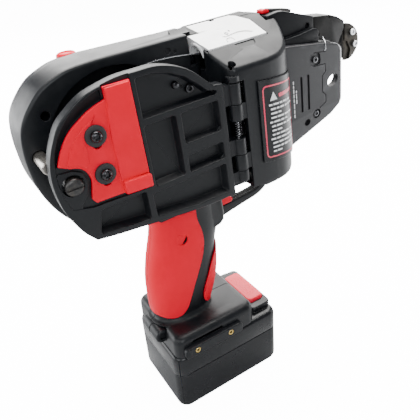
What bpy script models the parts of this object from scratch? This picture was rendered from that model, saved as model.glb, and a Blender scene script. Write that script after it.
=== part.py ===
"""Cordless wire tying machine: feed block, reel case with hinged cover, grip, foot, battery pack.

+Z is up, +X to the nose, +Y to the operator's left; the origin is on the underside of the pack.
Pieces are drawn in millimetres and finish() scales them to metres. The upper body has its own
frame (u forward, y left, w up from the pack's shoulder plane), pitched nose up by PITCH.
"""
import math

import bpy
import bmesh
import numpy as np
from mathutils import Matrix, Vector

for old in list(bpy.data.objects):
    bpy.data.objects.remove(old, do_unlink=True)

# ---- driving dimensions, millimetres ----
MM = 0.001
PITCH = math.radians(4.0)
GAP = 0.3  # clearance between neighbouring parts
SEG = 24  # sides of a round section
WALL = 3.0  # housing wall
PACK_H = 60.0  # underside of the pack to the shoulder plane the foot rests on
PACK_X0, PACK_X1, PACK_HW = -54.0, 52.0, 37.5
PACK_SPLIT, PACK_WALL = 40.0, 2.6
FOOT_X0, FOOT_X1, FOOT_HW, FOOT_H = -52.0, 27.0, 37.5, 20.5
KNOB, KNOB_Y0, KNOB_Y1 = (-54.0, 12.5), -16.6, 10.2  # thumb wheel, (x, z) in the foot frame
BAR_Z, BAR_INSERTS = 5.7, {"rear": -35, "front": -2}  # insert x
ROOF_W, ROOF_Y = 252.0, 4.0  # ridge of the roof
ROOF_SLOPE_RIGHT, ROOF_SLOPE_LEFT = 0.5, 0.45
BELLY = 139.5  # underside of the reel case seat
HINGE = HINGE_U, HINGE_Y = 29.0, -40.0
HINGE_R, PIN_R = 5.0, 1.5
COVER_Y0, COVER_Y1, POCKET_FLOOR = -42.0, -33.0, -36.0
REEL, REEL_R = (-45.0, 196.0), 48.5
CASE_FRONT, CASE_Y0, CASE_Y1, DOME_Y1 = 21.4, -12.0, 16.0, 49.0
STOP = (-56, 31)  # stop button, (u, y)
STUD, POST = (-92.0, 190.2), (-100.5, 202)  # latch stud and post, (u, w)
LATCH_SCREWS = {"upper": (-72.0, 216.5), "lower": (-72.0, 191.5)}
COVER_PINS = {"front": (-2.8, 223.4), "rear": (-12.4, 228.4)}
NOSE_BOLTS = {"upper": (123, 206.8), "lower": (123, 160.3)}
CURL_BOLTS = {"upper": (174.6, 215.2), "lower": (178.0, 204.6)}
TWIST = (0, 190.0)  # twist drive axis, (y, w)
DRIVE, IDLER, PLATE_HOLE = (50, -27.4), (50, -10.2), (50, -18.5)  # (u, y)
ROLLER = (8.3, 219, 226)  # radius, bottom, top

WORLD = Matrix.Identity(4)
FOOT = Matrix.Translation((0, 0, PACK_H))
BODY = FOOT @ Matrix.Rotation(-PITCH, 4, "Y")

BLACK = (0.022, 0.023, 0.026)
LABEL_BLACK = (0.03, 0.03, 0.034)
WASHER_BLACK = (0.03, 0.03, 0.03)
TERMINAL_BLACK = (0.04, 0.04, 0.045)
SWITCH_BLACK = (0.04, 0.04, 0.05)
DARK_METAL = (0.05, 0.052, 0.056)
GREY_METAL = (0.13, 0.13, 0.135)
STEEL = (0.55, 0.56, 0.58)
BRIGHT = (0.85, 0.86, 0.88)
PALE = (0.88, 0.88, 0.9)
RED = (0.72, 0.03, 0.045)
BRASS = (0.78, 0.56, 0.2)
GREEN = (0.03, 0.16, 0.07)
BLUE = (0.1, 0.25, 0.5)


# ---- outlines ----
def inset(points, distance):
    """Move every side of a closed outline inward; near spikes only follow the side before."""
    area = sum(a[0] * b[1] - b[0] * a[1] for a, b in zip(points, points[1:] + points[:1]))
    turn = 1 if area > 0 else -1
    moved = []
    for i, point in enumerate(points):
        corner = Vector(point)
        before = (corner - Vector(points[i - 1])).normalized()
        after = (Vector(points[(i + 1) % len(points)]) - corner).normalized()
        normal = Vector((-before.y, before.x)) * turn
        miter = normal + Vector((-after.y, after.x)) * turn
        size = miter.length_squared
        corner += miter * (2 * distance / size) if size > 0.35 else normal * distance
        moved.append((corner.x, corner.y))
    return moved


def ellipse(centre, radius_a, radius_b, sides):
    angles = [2 * math.pi * i / sides for i in range(sides)]
    return [(centre[0] + radius_a * math.cos(t), centre[1] + radius_b * math.sin(t))
            for t in angles]


def rounded_rect(x0, x1, y0, y1, radius, steps=4):
    points = []
    for x, y, first in ((x1 - radius, y1 - radius, 0), (x0 + radius, y1 - radius, 90),
                        (x0 + radius, y0 + radius, 180), (x1 - radius, y0 + radius, 270)):
        for i in range(steps + 1):
            t = math.radians(first + 90 * i / steps)
            points.append((x + radius * math.cos(t), y + radius * math.sin(t)))
    return points


# ---- solids ----
def add_object(me):
    o = bpy.data.objects.new("part", me)
    bpy.context.scene.collection.objects.link(o)
    return o


def skin(rings, frame, closed):
    """Skin a row of equal rings; closed joins last to first, otherwise both ends are capped."""
    bm = bmesh.new()
    rows = [[bm.verts.new(p) for p in ring] for ring in rings]
    n = len(rows[0])
    for a, b in zip(rows, rows[1:] + rows[:1] if closed else rows[1:]):
        for i in range(n):
            bm.faces.new((a[i], a[(i + 1) % n], b[(i + 1) % n], b[i]))
    if not closed:
        bm.faces.new(rows[0][::-1])
        bm.faces.new(rows[-1])
    bmesh.ops.remove_doubles(bm, verts=bm.verts, dist=1e-5)
    bmesh.ops.recalc_face_normals(bm, faces=bm.faces)
    if bm.calc_volume(signed=True) < 0:
        bmesh.ops.reverse_faces(bm, faces=bm.faces)
    bm.transform(frame)
    me = bpy.data.meshes.new("part")
    bm.to_mesh(me)
    bm.free()
    return add_object(me)


def loft(rings, frame=BODY):
    return skin(rings, frame, closed=False)


def place(point, axis, t):
    """Outline point at t on the axis: x takes (y, z), y takes (x, z) and z takes (x, y)."""
    a, b = point
    return {"x": (t, a, b), "y": (a, t, b), "z": (a, b, t)}[axis]


def stack(levels, axis, frame=BODY):
    """Loft through (position on the axis, outline) levels."""
    return loft([[place(p, axis, t) for p in outline] for t, outline in levels], frame)


def prism(points, axis, start, end, frame=BODY, chamfer=0.0, chamfer_end=True):
    """An outline carried along an axis, chamfered at the start and, by default, at the end."""
    if not chamfer:
        return stack([(start, points), (end, points)], axis, frame)
    small = inset(points, chamfer)
    levels = [(start, small), (start + chamfer, points)]
    levels += [(end - chamfer, points), (end, small)] if chamfer_end else [(end, points)]
    return stack(levels, axis, frame)


def box(x0, x1, y0, y1, z0, z1, frame=BODY):
    return prism([(x0, y0), (x1, y0), (x1, y1), (x0, y1)], "z", z0, z1, frame)


def cylinder(axis, centre, radius, start, end, sides=SEG, frame=BODY, chamfer=0.0):
    return prism(ellipse(centre, radius, radius, sides), axis, start, end, frame, chamfer)


def tube(axis, centre, outer, inner, start, end, sides=SEG, frame=BODY):
    corners = ((outer, start), (outer, end), (inner, end), (inner, start))
    rings = [[place(p, axis, t) for p in ellipse(centre, r, r, sides)] for r, t in corners]
    return skin(rings, frame, closed=True)


def sweep(path, radius, sides=8):
    points = [Vector(p) for p in path]
    up = Vector((0, 1, 0))
    rings = []
    for i, p in enumerate(points):
        ahead = (points[min(i + 1, len(points) - 1)] - points[max(i - 1, 0)]).normalized()
        side = ahead.cross(up).normalized()
        up = side.cross(ahead).normalized()
        angles = [2 * math.pi * k / sides for k in range(sides)]
        rings.append([p + (side * math.cos(t) + up * math.sin(t)) * radius for t in angles])
    return loft(rings)


def boolean(target, operation, tools):
    """Apply each tool to the target in turn and remove it."""
    for tool in tools:
        modifier = target.modifiers.new("boolean", "BOOLEAN")
        modifier.operation = operation
        modifier.solver = "EXACT"
        modifier.object = tool
        graph = bpy.context.evaluated_depsgraph_get()
        me = bpy.data.meshes.new_from_object(target.evaluated_get(graph))
        target.modifiers.clear()
        target.data = me
        bpy.data.objects.remove(tool, do_unlink=True)
    return target


def cut(target, *tools):
    return boolean(target, "DIFFERENCE", tools)


def join(target, *tools):
    return boolean(target, "UNION", tools)


def meet(target, *tools):
    return boolean(target, "INTERSECT", tools)


def copy(o):
    return add_object(o.data.copy())


def mirror_y(o):
    mirrored = copy(o)
    bm = bmesh.new()
    bm.from_mesh(mirrored.data)
    bm.transform(Matrix.Scale(-1, 4, (0, 1, 0)))
    bmesh.ops.reverse_faces(bm, faces=bm.faces)
    bm.to_mesh(mirrored.data)
    bm.free()
    return mirrored


def screw(centre, head, shank, chamfer=0.0, socket=None):
    """Head and shank along y, each (radius, y0, y1, sides), with an optional socket."""
    o = join(cylinder("y", centre, *head, chamfer=chamfer), cylinder("y", centre, *shank))
    return cut(o, cylinder("y", centre, *socket)) if socket else o


def finish(o, name, colour, *, rough, metal=0.0, origin=None, frame=BODY):
    """Scale to metres, triangulate, set the origin (mm in the frame) and add a material."""
    joint = frame @ Vector(origin) * MM if origin else Vector((0, 0, 0))
    bm = bmesh.new()
    bm.from_mesh(o.data)
    bmesh.ops.scale(bm, vec=(MM, MM, MM), verts=bm.verts)
    bmesh.ops.remove_doubles(bm, verts=bm.verts, dist=2e-6)
    bmesh.ops.dissolve_degenerate(bm, dist=2e-6, edges=bm.edges)
    bmesh.ops.triangulate(bm, faces=bm.faces)
    bmesh.ops.translate(bm, vec=-joint, verts=bm.verts)
    me = bpy.data.meshes.new(name)
    bm.to_mesh(me)
    bm.free()
    material = bpy.data.materials.new(name)
    material.use_nodes = True
    inputs = material.node_tree.nodes["Principled BSDF"].inputs
    inputs["Base Color"].default_value = (*colour, 1)
    inputs["Roughness"].default_value = rough
    inputs["Metallic"].default_value = metal
    me.materials.append(material)
    o.data = me
    o.name = name
    o.location = joint
    me.shade_smooth()
    me.set_sharp_from_angle(angle=math.radians(32))


# ---- housing: feed block, spine, handle, trigger guard and foot as one form, split in two ----
BLOCK_PLAN = [  # (u, y)
    (8, -22), (22, -22), (23.5, -30), (25.5, -38), (29, -43), (35, -44), (58, -44), (66, -43),
    (72, -41), (77.5, -37.5), (83, -31.5), (89, -20.5), (93.5, -9), (95, 0), (94, 9), (89, 22),
    (82, 31), (74, 37), (64, 40), (8, 40)]
BLOCK_SIDE = [  # (u, w)
    (22, 137), (40, 135.4), (45.5, 133.2), (50, 130.0), (50, 100), (120, 100), (120, 256),
    (22, 256)]
BLOCK_EDGE = [  # rounded lower edge: inset, w
    (5.0, 131.3), (3.0, 131.8), (1.4, 133.0), (0.4, 134.8), (0.0, 136.4)]
HANDLE = [  # z above the shoulder plane, rear x, front x, half width
    (14, -50, -2, 16.5), (22, -51, -1, 17), (30, -52.5, 2, 17.5), (40, -53, 5.5, 18),
    (50, -53, 8, 18.5), (60, -52.5, 9.3, 18.5), (70, -51, 9.8, 18.3), (80, -49, 10.5, 18),
    (90, -46.5, 13, 17.5), (100, -44, 15, 17), (112, -42.5, 15, 16.5), (124, -43, 14, 17),
    (134, -44, 14, 18)]
HANDLE_POWER = 2.35  # superellipse exponent of the section
SPINE = [(-42, BELLY), (-40, 130), (-34, 124), (20, 124), (30, 131), (30, BELLY)]  # (u, w)
GUARD = [  # (u, w): outer line forward, then inner line back
    (13, 91.5), (31, 94.6), (48, 97.2), (60, 98.7), (66.5, 100.2), (72.5, 103.0),
    (76.8, 107.2), (79.4, 113), (80.6, 122), (80.6, 134), (74.6, 134), (74.4, 122),
    (73.2, 114.6), (70.6, 109.4), (66, 106.0), (58, 104.6), (45, 104.2), (31, 103.8),
    (22, 103.8), (19, 107), (13, 112)]
FOOT_LEVELS = [(0, 0.0), (13.5, 0.0), (17.5, 1.8), (FOOT_H, 6.0)]  # z, inset
FIXED_KNUCKLES = ((191.8, 203.8), (153.3, 165.8))  # bottom and top w
COVER_KNUCKLES = ((204.1, 218.9), (166.1, 178.4), (144.2, 153.0))  # GAP clear of the fixed


def roof_right(y):
    """Height of the roof to the right of its ridge."""
    return ROOF_W - ROOF_SLOPE_RIGHT * (ROOF_Y - y)


def block_form(depth=0.0):
    """The feed block, or its inside at a depth below the surface."""
    plan = inset(BLOCK_PLAN, depth)
    levels = [(w + depth, inset(plan, edge)) for edge, w in BLOCK_EDGE] + [(262, plan)]
    side = [(u + depth if u < 40 else u, w + depth if w < 200 else w) for u, w in BLOCK_SIDE]
    above = [(-60, roof_right(-60)), (ROOF_Y, ROOF_W),
             (60, ROOF_W - ROOF_SLOPE_LEFT * (60 - ROOF_Y)), (60, 300), (-60, 300)]
    above = [(y, w - depth * 1.1) for y, w in above]
    block = meet(stack(levels, "z"), prism(side, "y", -60, 60))
    return cut(block, prism(above, "x", 0, 120))


def handle_section(z, grow):
    heights, *columns = zip(*HANDLE)
    rear, front, half_width = (np.interp(z, heights, column) for column in columns)
    points = []
    for across, along in ellipse((0, 0), 1, 1, SEG):
        x, y = (math.copysign(abs(c) ** (2 / HANDLE_POWER), c) for c in (across, along))
        points.append(((rear + front) / 2 + ((front - rear) / 2 + grow) * x,
                       (half_width + grow) * y))
    return points


def handle_solid(grow, z0, z1):
    """The handle between two heights, fattened by grow."""
    heights = [z0] + [row[0] for row in HANDLE if z0 + 2 < row[0] < z1 - 2] + [z1]
    return stack([(z, handle_section(z, grow)) for z in heights], "z", FOOT)


def foot_form():
    levels = [(z, rounded_rect(FOOT_X0 + k, FOOT_X1 - k, -FOOT_HW + k, FOOT_HW - k, 7 - k * 0.5))
              for z, k in FOOT_LEVELS]
    return stack(levels, "z", FOOT)


def knuckle(radius, u0, u1, right, w0, w1):
    """Hinge barrel with a web from u0 to u1, reaching right of the axis."""
    web = box(u0, u1, HINGE_Y - right, HINGE_Y + 4.2, w0, w1)
    return join(cylinder("z", HINGE, radius, w0, w1), web)


def hinge_bore():
    return cylinder("z", HINGE, PIN_R + GAP, 120, 260, 12)


def build_housing():
    shell = join(block_form(), prism(SPINE, "y", -20, 20), handle_solid(0, 14, 134),
                 prism(GUARD, "y", -4.8, 4.8), foot_form())
    shell = cut(
        shell,
        # insides of the block, handle and foot
        block_form(WALL),
        handle_solid(-3.6, 22, 128),
        box(FOOT_X0 + WALL, FOOT_X1 - WALL, -FOOT_HW + WALL, FOOT_HW - WALL, 10.8, 17.0, FOOT),
        # pack rails: a narrow throat under a wide slot, open below and to the front
        box(-43, 40, -23, 23, -5, 9.3, FOOT),
        box(-43, 40, -29, 29, 3.4, 9.3, FOOT),
        box(12.5, 40, -33, 33, -5, 9.3, FOOT),
        # thumb wheel pocket in the rear face
        cylinder("y", KNOB, 7.0, KNOB_Y0 - 0.7, KNOB_Y1 + 0.7, frame=FOOT),
        # trigger slot, hinge pocket
        box(2, 40, -6.5, 6.5, 104.2, 132.5),
        box(18, 35.5, -50, -33.5, 139, 219.3))
    for w0, w1 in FIXED_KNUCKLES:
        shell = join(shell, knuckle(HINGE_R, HINGE_U, 37.3, 3.6, w0, w1))
    shell = cut(
        shell,
        hinge_bore(),
        # nose opening
        box(84, 110, -16.2, 16.2, 138.2, 228.2),
        box(84, 110, -22.4, 22.4, 136.4, 224.6),
        box(84, 110, -10.4, 10.4, 220, 262),
        # wire inlet, hole under the feed plate
        box(15, 27, -27, -13, 224, 236.5),
        cylinder("z", PLATE_HOLE, 3.2, 200, 262, 12),
        # reel case seat on the spine
        box(-120, CASE_FRONT + GAP, -60, 60, BELLY - GAP, 270))
    right = cut(copy(shell), box(-120, 200, -GAP / 2, 80, -10, 300, FOOT))
    left = cut(shell, box(-120, 200, -80, GAP / 2, -10, 300, FOOT))
    finish(right, "housing_right", BLACK, rough=0.42)
    finish(left, "housing_left", BLACK, rough=0.42)


# ---- reel case and dome ----
CASE = [  # (u, w)
    (CASE_FRONT, 250.4), (-50, 250.8), (-67, 249.8), (-77, 247.3), (-87.6, 242.6),
    (-95.7, 235.8), (-103, 227.2), (-107, 218.5), (-108.8, 207), (-109, 195), (-108, 184),
    (-105.2, 173), (-101, 162.7), (-95, 152.8), (-86.5, 144.5), (-75, 139.8), (-44, 139.8),
    (CASE_FRONT, 139.8)]
DOME = [(8, 249.5)] + CASE[1:-1] + [(8, 139.8)]
DOME_OUTSIDE = [  # y, inset
    (CASE_Y1 + GAP, 0.3), (26, 1.2), (36, 5.0), (43, 11.0), (47, 18.0), (DOME_Y1, 27.0)]
DOME_INSIDE = [(CASE_Y1 - 1, 3.5), (26, 4.4), (36, 8.5), (42, 15.0), (46, 24.0)]
STOP_LEVELS = [(226, 7.0), (243, 7.0), (247, 6.6), (249.5, 5.0), (250.4, 2.5)]  # w, radius


def build_reel_case():
    case = prism(CASE, "y", CASE_Y0, CASE_Y1, chamfer=1.2, chamfer_end=False)
    case = cut(
        case,
        cylinder("y", REEL, REEL_R, CASE_Y0 - 3, 8.5, 40),  # reel well, open to the right
        box(-30, 17.5, 11.5, 20, 146, 244),
        box(4, 30, -8.5, 11, 146, 230),
        cylinder("y", REEL, 5.2, 0, 20, 16),
        cylinder("y", (-89.5, 222), 2.2, 0, 20, 10))
    # bosses for the latch stud and post, then their bores
    case = join(case, cylinder("y", STUD, 8.0, -16, 8.5, 16),
                cylinder("y", POST, 6.8, -14.5, -5, 16))
    case = cut(case, cylinder("y", STUD, 4.8, -20, 5, 16), cylinder("y", POST, 4.2, -20, -8, 16))
    finish(case, "reel_case", BLACK, rough=0.42)


def build_dome():
    outside, inside = (stack([(y, inset(DOME, d)) for y, d in levels], "y")
                       for levels in (DOME_OUTSIDE, DOME_INSIDE))
    dome = cut(outside, inside, cylinder("z", STOP, 7.4, 225, 262, 16))
    finish(dome, "reel_case_dome", BLACK, rough=0.42)
    stop = stack([(w, ellipse(STOP, r, r, 16)) for w, r in STOP_LEVELS], "z")
    finish(stop, "reel_stop_button", RED, rough=0.25, origin=(*STOP, 240))


def build_reel_fittings():
    spindle = cylinder("y", REEL, 4.9, -22, 14.5, 16)
    finish(spindle, "reel_spindle", STEEL, rough=0.3, metal=1.0)
    hub = tube("y", REEL, 17, 5.3, -20, 8.0)
    finish(hub, "reel_hub", BLACK, rough=0.5, origin=(REEL[0], -6, REEL[1]))
    stud = screw(STUD, (8.0, -45.6, -42.5, 24), (4.4, -43, 4, 16), chamfer=0.6)
    stud = cut(stud, box(-102, -82, -47, -44.6, 189.3, 191.1))  # slot across the head
    finish(stud, "latch_stud", STEEL, rough=0.35, metal=1.0)
    post = cylinder("y", POST, 3.9, -32.6, -8.5, 16)
    finish(post, "latch_post", BRIGHT, rough=0.18, metal=1.0)


# ---- feed plate, wire inlet arch and label panel on the feed block ----
FEED_PLATE = [  # (u, y)
    (24.5, -22.3), (74.2, -22.3), (72.2, -6.2), (64.4, 1.3), (60, 3.0), (24.5, 3.3)]
ARCH_OUTER = [  # (y, w)
    (-28.0, 226.5), (-28.0, 233.4), (-26.4, 238.2), (-23.4, 241.6), (-19.3, 243.4),
    (-15, 243.8), (-12.4, 242.4), (-12.4, 226.5)]
ARCH_INNER = [
    (-26.0, 220), (-26.0, 233), (-24.6, 236.8), (-22.2, 239.4), (-19, 241.0),
    (-15.8, 241.2), (-14.4, 240.2), (-14.4, 220)]
LABEL_LINE = [  # (u, y) along the right face and its front corner
    (45.8, -44), (58, -44), (66, -43), (72, -41), (77.5, -37.5), (82, -32.7)]
LABEL_EDGES = ((152.6, 0.13), (215.6, 0.10))  # lower, upper: w at the rear, fall to the front


def build_roof_parts():
    plate = loft([[(u, y, roof_right(y) + h) for u, y in FEED_PLATE] for h in (0.35, 1.9)])
    plate = cut(plate, cylinder("z", PLATE_HOLE, 2.2, 200, 262, 12))
    finish(plate, "feed_plate", PALE, rough=0.28, metal=0.6)
    arch = cut(prism(ARCH_OUTER, "x", 17.2, 21.2), prism(ARCH_INNER, "x", 10, 30))
    finish(arch, "wire_inlet_arch", BRIGHT, rough=0.25, metal=1.0)


def build_label():
    """A thin raised panel, offset outward from the face line."""
    outer, inner = [], []
    last = len(LABEL_LINE) - 1
    for i, point in enumerate(LABEL_LINE):
        before, after = Vector(LABEL_LINE[max(i - 1, 0)]), Vector(LABEL_LINE[min(i + 1, last)])
        along = (after - before).normalized()
        outward = Vector((along.y, -along.x))
        outer.append(Vector(point) + outward * 1.5)
        inner.append(Vector(point) + outward * 0.35)
    outline = outer + inner[::-1]
    rings = [[(u, y, w - fall * (u - LABEL_LINE[0][0])) for u, y in outline]
             for w, fall in LABEL_EDGES]
    finish(loft(rings), "label_panel", LABEL_BLACK, rough=0.5)


# ---- nose, all outlines (u, w) ----
NOSE_PLATE = [
    (86, 137), (103, 143), (126, 151.4), (138, 156), (150, 164), (150, 208.7),
    (145.5, 213.8), (133.5, 217.6), (94.5, 223.8), (86, 224.3)]
CORE = [(84.5, 139), (103, 146), (124, 153), (126.5, 160), (126.5, 217), (131.2, 217.2),
        (84.5, 226)]
CORE_TOP = [(85.3, 219), (131.4, 215.2), (131.4, 237.3), (92, 246), (85.3, 246.5)]
CURL_BLOCK = [
    (131.9, 218.2), (147, 214.3), (151, 212.5), (153.5, 208.4), (159, 208.4), (166, 220),
    (166, 226.5), (158, 231.4), (151, 234), (131.9, 236.6)]
CURL_PLATE = [
    (166.4, 192.5), (170.5, 192), (176, 194.2), (180.4, 198.4), (182.8, 203.6), (183, 209),
    (181.2, 214.6), (177.4, 219.4), (172, 222.8), (166.4, 224)]
# the middle plate is smaller everywhere but at its rear edge
CURL_PLATE_MID = [(u, w) if u < 167 else (u - 1.6, w - (w - 208) * 0.1) for u, w in CURL_PLATE]
LEVER = [
    (86, 247.8), (93, 247.4), (104, 245.4), (112, 243.4), (114, 243.8), (114, 245.6),
    (111, 246.9), (104, 248.0), (95, 249.8), (91, 251.2), (86, 250.8)]


def build_nose():
    plate = prism(NOSE_PLATE, "y", -22, -16.3, chamfer=0.8, chamfer_end=False)
    plate = cut(plate, prism(ellipse((142.5, 184), 4.6, 6.6, 20), "y", -30, -10),
                *(cylinder("y", c, 1.9, -30, -10, 12) for c in NOSE_BOLTS.values()))
    left = mirror_y(plate)
    finish(plate, "nose_plate_right", BLACK, rough=0.4)
    finish(left, "nose_plate_left", BLACK, rough=0.4)

    core = join(prism(CORE, "y", -15.9, 15.9), prism(CORE_TOP, "y", -10, 10, chamfer=1.0))
    core = cut(core, cylinder("x", TWIST, 12.6, 80, 140), box(70, 140, -3.0, 3.0, 229, 234.5),
               *(cylinder("y", c, 1.6, -20, -8, 12) for c in NOSE_BOLTS.values()))
    finish(core, "nose_core", BLACK, rough=0.45)

    for name, centre in NOSE_BOLTS.items():
        bolt = screw(centre, (3.3, -24.2, -22.2, 16), (1.3, -23, -9, 12), chamfer=0.5,
                     socket=(1.4, -26, -23.2, 6))
        finish(bolt, "nose_bolt_" + name, STEEL, rough=0.3, metal=1.0)


def build_curl_guide():
    block = cut(prism(CURL_BLOCK, "y", -9, 9, chamfer=0.8), box(128, 180, -1.4, 1.4, 222, 226))
    finish(block, "curl_guide_block", DARK_METAL, rough=0.35, metal=0.6)
    for name, outline, y0, y1 in (("right", CURL_PLATE, -9.0, -6.0),
                                  ("mid", CURL_PLATE_MID, -5.7, 5.7),
                                  ("left", CURL_PLATE, 6.0, 9.0)):
        plate = cut(prism(outline, "y", y0, y1),
                    *(cylinder("y", c, 1.7, -20, 20, 10) for c in CURL_BOLTS.values()))
        finish(plate, "curl_plate_" + name, GREY_METAL, rough=0.35, metal=0.9)
    for name, centre in CURL_BOLTS.items():
        bolt = screw(centre, (2.7, -11.2, -9.3, 12), (1.3, -10, 8.5, 10))
        finish(bolt, "curl_bolt_" + name, BRIGHT, rough=0.25, metal=1.0)


def build_lever():
    lever = prism(LEVER, "y", -3.5, 3.5, chamfer=0.5)
    finish(lever, "release_lever", RED, rough=0.35, origin=(111.5, 0, 245))


# ---- twist drive and wire feed inside ----
WIRE_PATH = [  # (u, y, w)
    (61, -18.8, 222.5), (66, -17.5, 223.5), (73, -11, 227), (79, -3.5, 230.5),
    (83, -0.4, 231.7), (88, 0, 232), (128, 0, 231.5)]


def build_twist_drive():
    motor = cylinder("x", (1, TWIST[1]), 14.5, 32, 64, 20)
    finish(motor, "twist_motor", STEEL, rough=0.4, metal=0.9)
    gearbox = cylinder("x", TWIST, 15.5, 65, 82, 20)
    finish(gearbox, "twist_gearbox", STEEL, rough=0.5, metal=0.7)
    head = join(cylinder("x", TWIST, 4, 82.6, 120, 14),
                cylinder("x", TWIST, 10.5, 116, 138, chamfer=1.0))
    head = cut(head, box(128, 142, -2.2, 2.2, 170, 210))
    finish(head, "twist_head", STEEL, rough=0.3, metal=1.0, origin=(118, *TWIST))


def build_wire_feed():
    motor = cylinder("z", DRIVE, 10.2, 152, 210, 20)
    finish(motor, "feed_motor", STEEL, rough=0.4, metal=0.9)
    drive = join(cylinder("z", DRIVE, 2, 210.5, 227, 12), cylinder("z", DRIVE, *ROLLER))
    finish(drive, "drive_roller", STEEL, rough=0.35, metal=1.0, origin=(*DRIVE, 222))
    idler = cylinder("z", IDLER, *ROLLER)
    finish(idler, "idler_roller", STEEL, rough=0.35, metal=1.0, origin=(*IDLER, 222))
    finish(sweep(WIRE_PATH, 1.8), "wire_guide", STEEL, rough=0.3, metal=1.0)


# ---- hinged cover on the right, all outlines (u, w) ----
COVER = [
    (20, 221), (13, 221.8), (8.8, 225.6), (-1, 235), (-11, 240.9), (-24.2, 244.9),
    (-37.6, 245.3), (-50.7, 245.1), (-63.8, 242.8), (-73.8, 239.8), (-83.1, 234.2),
    (-91, 227.8), (-96.8, 218.4), (-100.4, 210.2), (-102.6, 201.1), (-103.2, 191.2),
    (-102.2, 180.1), (-100.3, 172), (-98, 166), (-93.8, 156.8), (-87.4, 148),
    (-72.6, 145.3), (-43.6, 141.4), (-12, 137.2), (8, 136), (20, 136)]
POCKETS = [  # outline, floor y
    ([(-40, 215.5), (-40, 241.9), (-28, 241.6), (-17, 238.6), (-7, 233.4), (3, 225),
      (8.5, 219.4), (15, 218), (15, 215.5)], POCKET_FLOOR),
    ([(-40, 168), (-40, 211), (-18, 211), (-18, 168)], POCKET_FLOOR),
    ([(-14, 189.5), (-14, 211), (14.5, 211), (14.5, 189.5)], POCKET_FLOOR),
    ([(-14, 168), (-14, 180.5), (14.5, 180.5), (14.5, 168)], POCKET_FLOOR),
    ([(-44, 146), (-44, 163.5), (14.5, 163.5), (14.5, 140.5), (-12, 141.5)],
     POCKET_FLOOR + 1.5),
    ([(-84, 151), (-80, 168.5), (-48.5, 168.5), (-48.5, 146.4), (-72, 149.6)],
     POCKET_FLOOR + 1.5)]
LATCH_SEAT = [
    (-43.2, 169.5), (-43.2, 260), (-61.3, 260), (-61.3, 241.6), (-67, 240.5), (-78, 236),
    (-86, 230), (-92.5, 222.5), (-97.5, 212.5), (-99.6, 203), (-100, 195), (-99, 184),
    (-96.5, 175), (-84, 171.6)]
LATCH = [
    (-43.8, 242.3), (-60.6, 242.3), (-60.8, 235.2), (-66.7, 233.4), (-73, 231), (-79, 227.6),
    (-85, 223.6), (-89.7, 218.8), (-94, 212.5), (-97.6, 205.2), (-91.4, 201.9), (-86, 200),
    (-82.4, 196), (-81.0, 190), (-82.4, 183), (-83.6, 177.6), (-81.6, 174.4),
    (-62.8, 173.6), (-62, 172.6), (-43.9, 171.9)]
LATCH_TAB = [(-62.6, 182.4), (-62.6, 173.4), (-44.2, 172.2), (-44.2, 181)]


def build_cover():
    cover = prism(COVER, "y", COVER_Y0, COVER_Y1)
    for w0, w1 in COVER_KNUCKLES:
        cover = join(cover, knuckle(HINGE_R - 0.1, 18.3, HINGE_U + 0.4, 1.5, w0, w1))
    cover = cut(
        cover,
        *(prism(outline, "y", -60, floor) for outline, floor in POCKETS),
        prism(LATCH_SEAT, "y", -60, -40.6),
        cylinder("y", STUD, 9.4, -50, -30),
        hinge_bore(),
        *(cylinder("y", c, 2.3, -50, -30, 12) for c in LATCH_SCREWS.values()),
        *(cylinder("y", c, 1.5, -38, -30, 10) for c in COVER_PINS.values()))
    finish(cover, "reel_cover", BLACK, rough=0.42, origin=(*HINGE, 180))
    for name, centre in COVER_PINS.items():
        pin = screw(centre, (2.8, -38.6, -36.3, 12), (1.2, -37, -32.8, 10))
        finish(pin, "cover_pin_" + name, BRIGHT, rough=0.3, metal=1.0)


def build_hinge():
    pin = cylinder("z", HINGE, PIN_R, 143.5, 228, 12)
    finish(pin, "hinge_pin", STEEL, rough=0.3, metal=1.0)
    spring = tube("z", HINGE, 3.4, PIN_R + 0.5, 179.2, 191.0, 16)
    finish(spring, "hinge_spring", STEEL, rough=0.3, metal=1.0)


def build_latch():
    latch = prism(LATCH, "y", -44.0, -40.9, chamfer=0.6, chamfer_end=False)
    latch = join(latch, prism(LATCH_TAB, "y", -47.2, -43))
    for u, w in LATCH_SCREWS.values():
        slot = rounded_rect(u - 2.7, u + 2.7, w - 9.2, w + 2.7, 2.69)
        latch = cut(latch, prism(slot, "y", -60, -30))
    finish(latch, "latch_plate", RED, rough=0.3, origin=(-72, -42.5, 205))
    for name, centre in LATCH_SCREWS.items():
        washer = tube("y", centre, 8.8, 2.3, -45.9, -44.3)
        finish(washer, "latch_washer_" + name, WASHER_BLACK, rough=0.5)
        bolt = screw(centre, (3.7, -48.4, -46.2, 16), (1.9, -47, -33.5, 12), chamfer=0.7,
                     socket=(1.6, -50, -47.0, 6))
        finish(bolt, "latch_screw_" + name, BRIGHT, rough=0.22, metal=1.0)


# ---- grips and trigger ----
GRIPS = {  # bottom z, top z, side outline (x, z)
    "rear": (24.5, 121, [
        (-70, 29), (-37, 25.5), (-31, 28), (-26, 38), (-21, 52), (-14, 68), (-9, 80),
        (-7.5, 90), (-8.5, 101), (-12, 118), (-12, 123), (-70, 123)]),
    "front": (22.5, 74, [
        (-9, 22.5), (30, 22.5), (30, 74), (0, 75), (-2.5, 66), (-6, 56), (-12, 44),
        (-15, 36), (-14, 28)])}
TRIGGER = [  # (u, w)
    (10, 104.6), (30, 104.6), (36.5, 104.8), (38.8, 107), (36.2, 113), (34.6, 120),
    (36, 130), (33.5, 131.5), (10, 131.5)]


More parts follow.
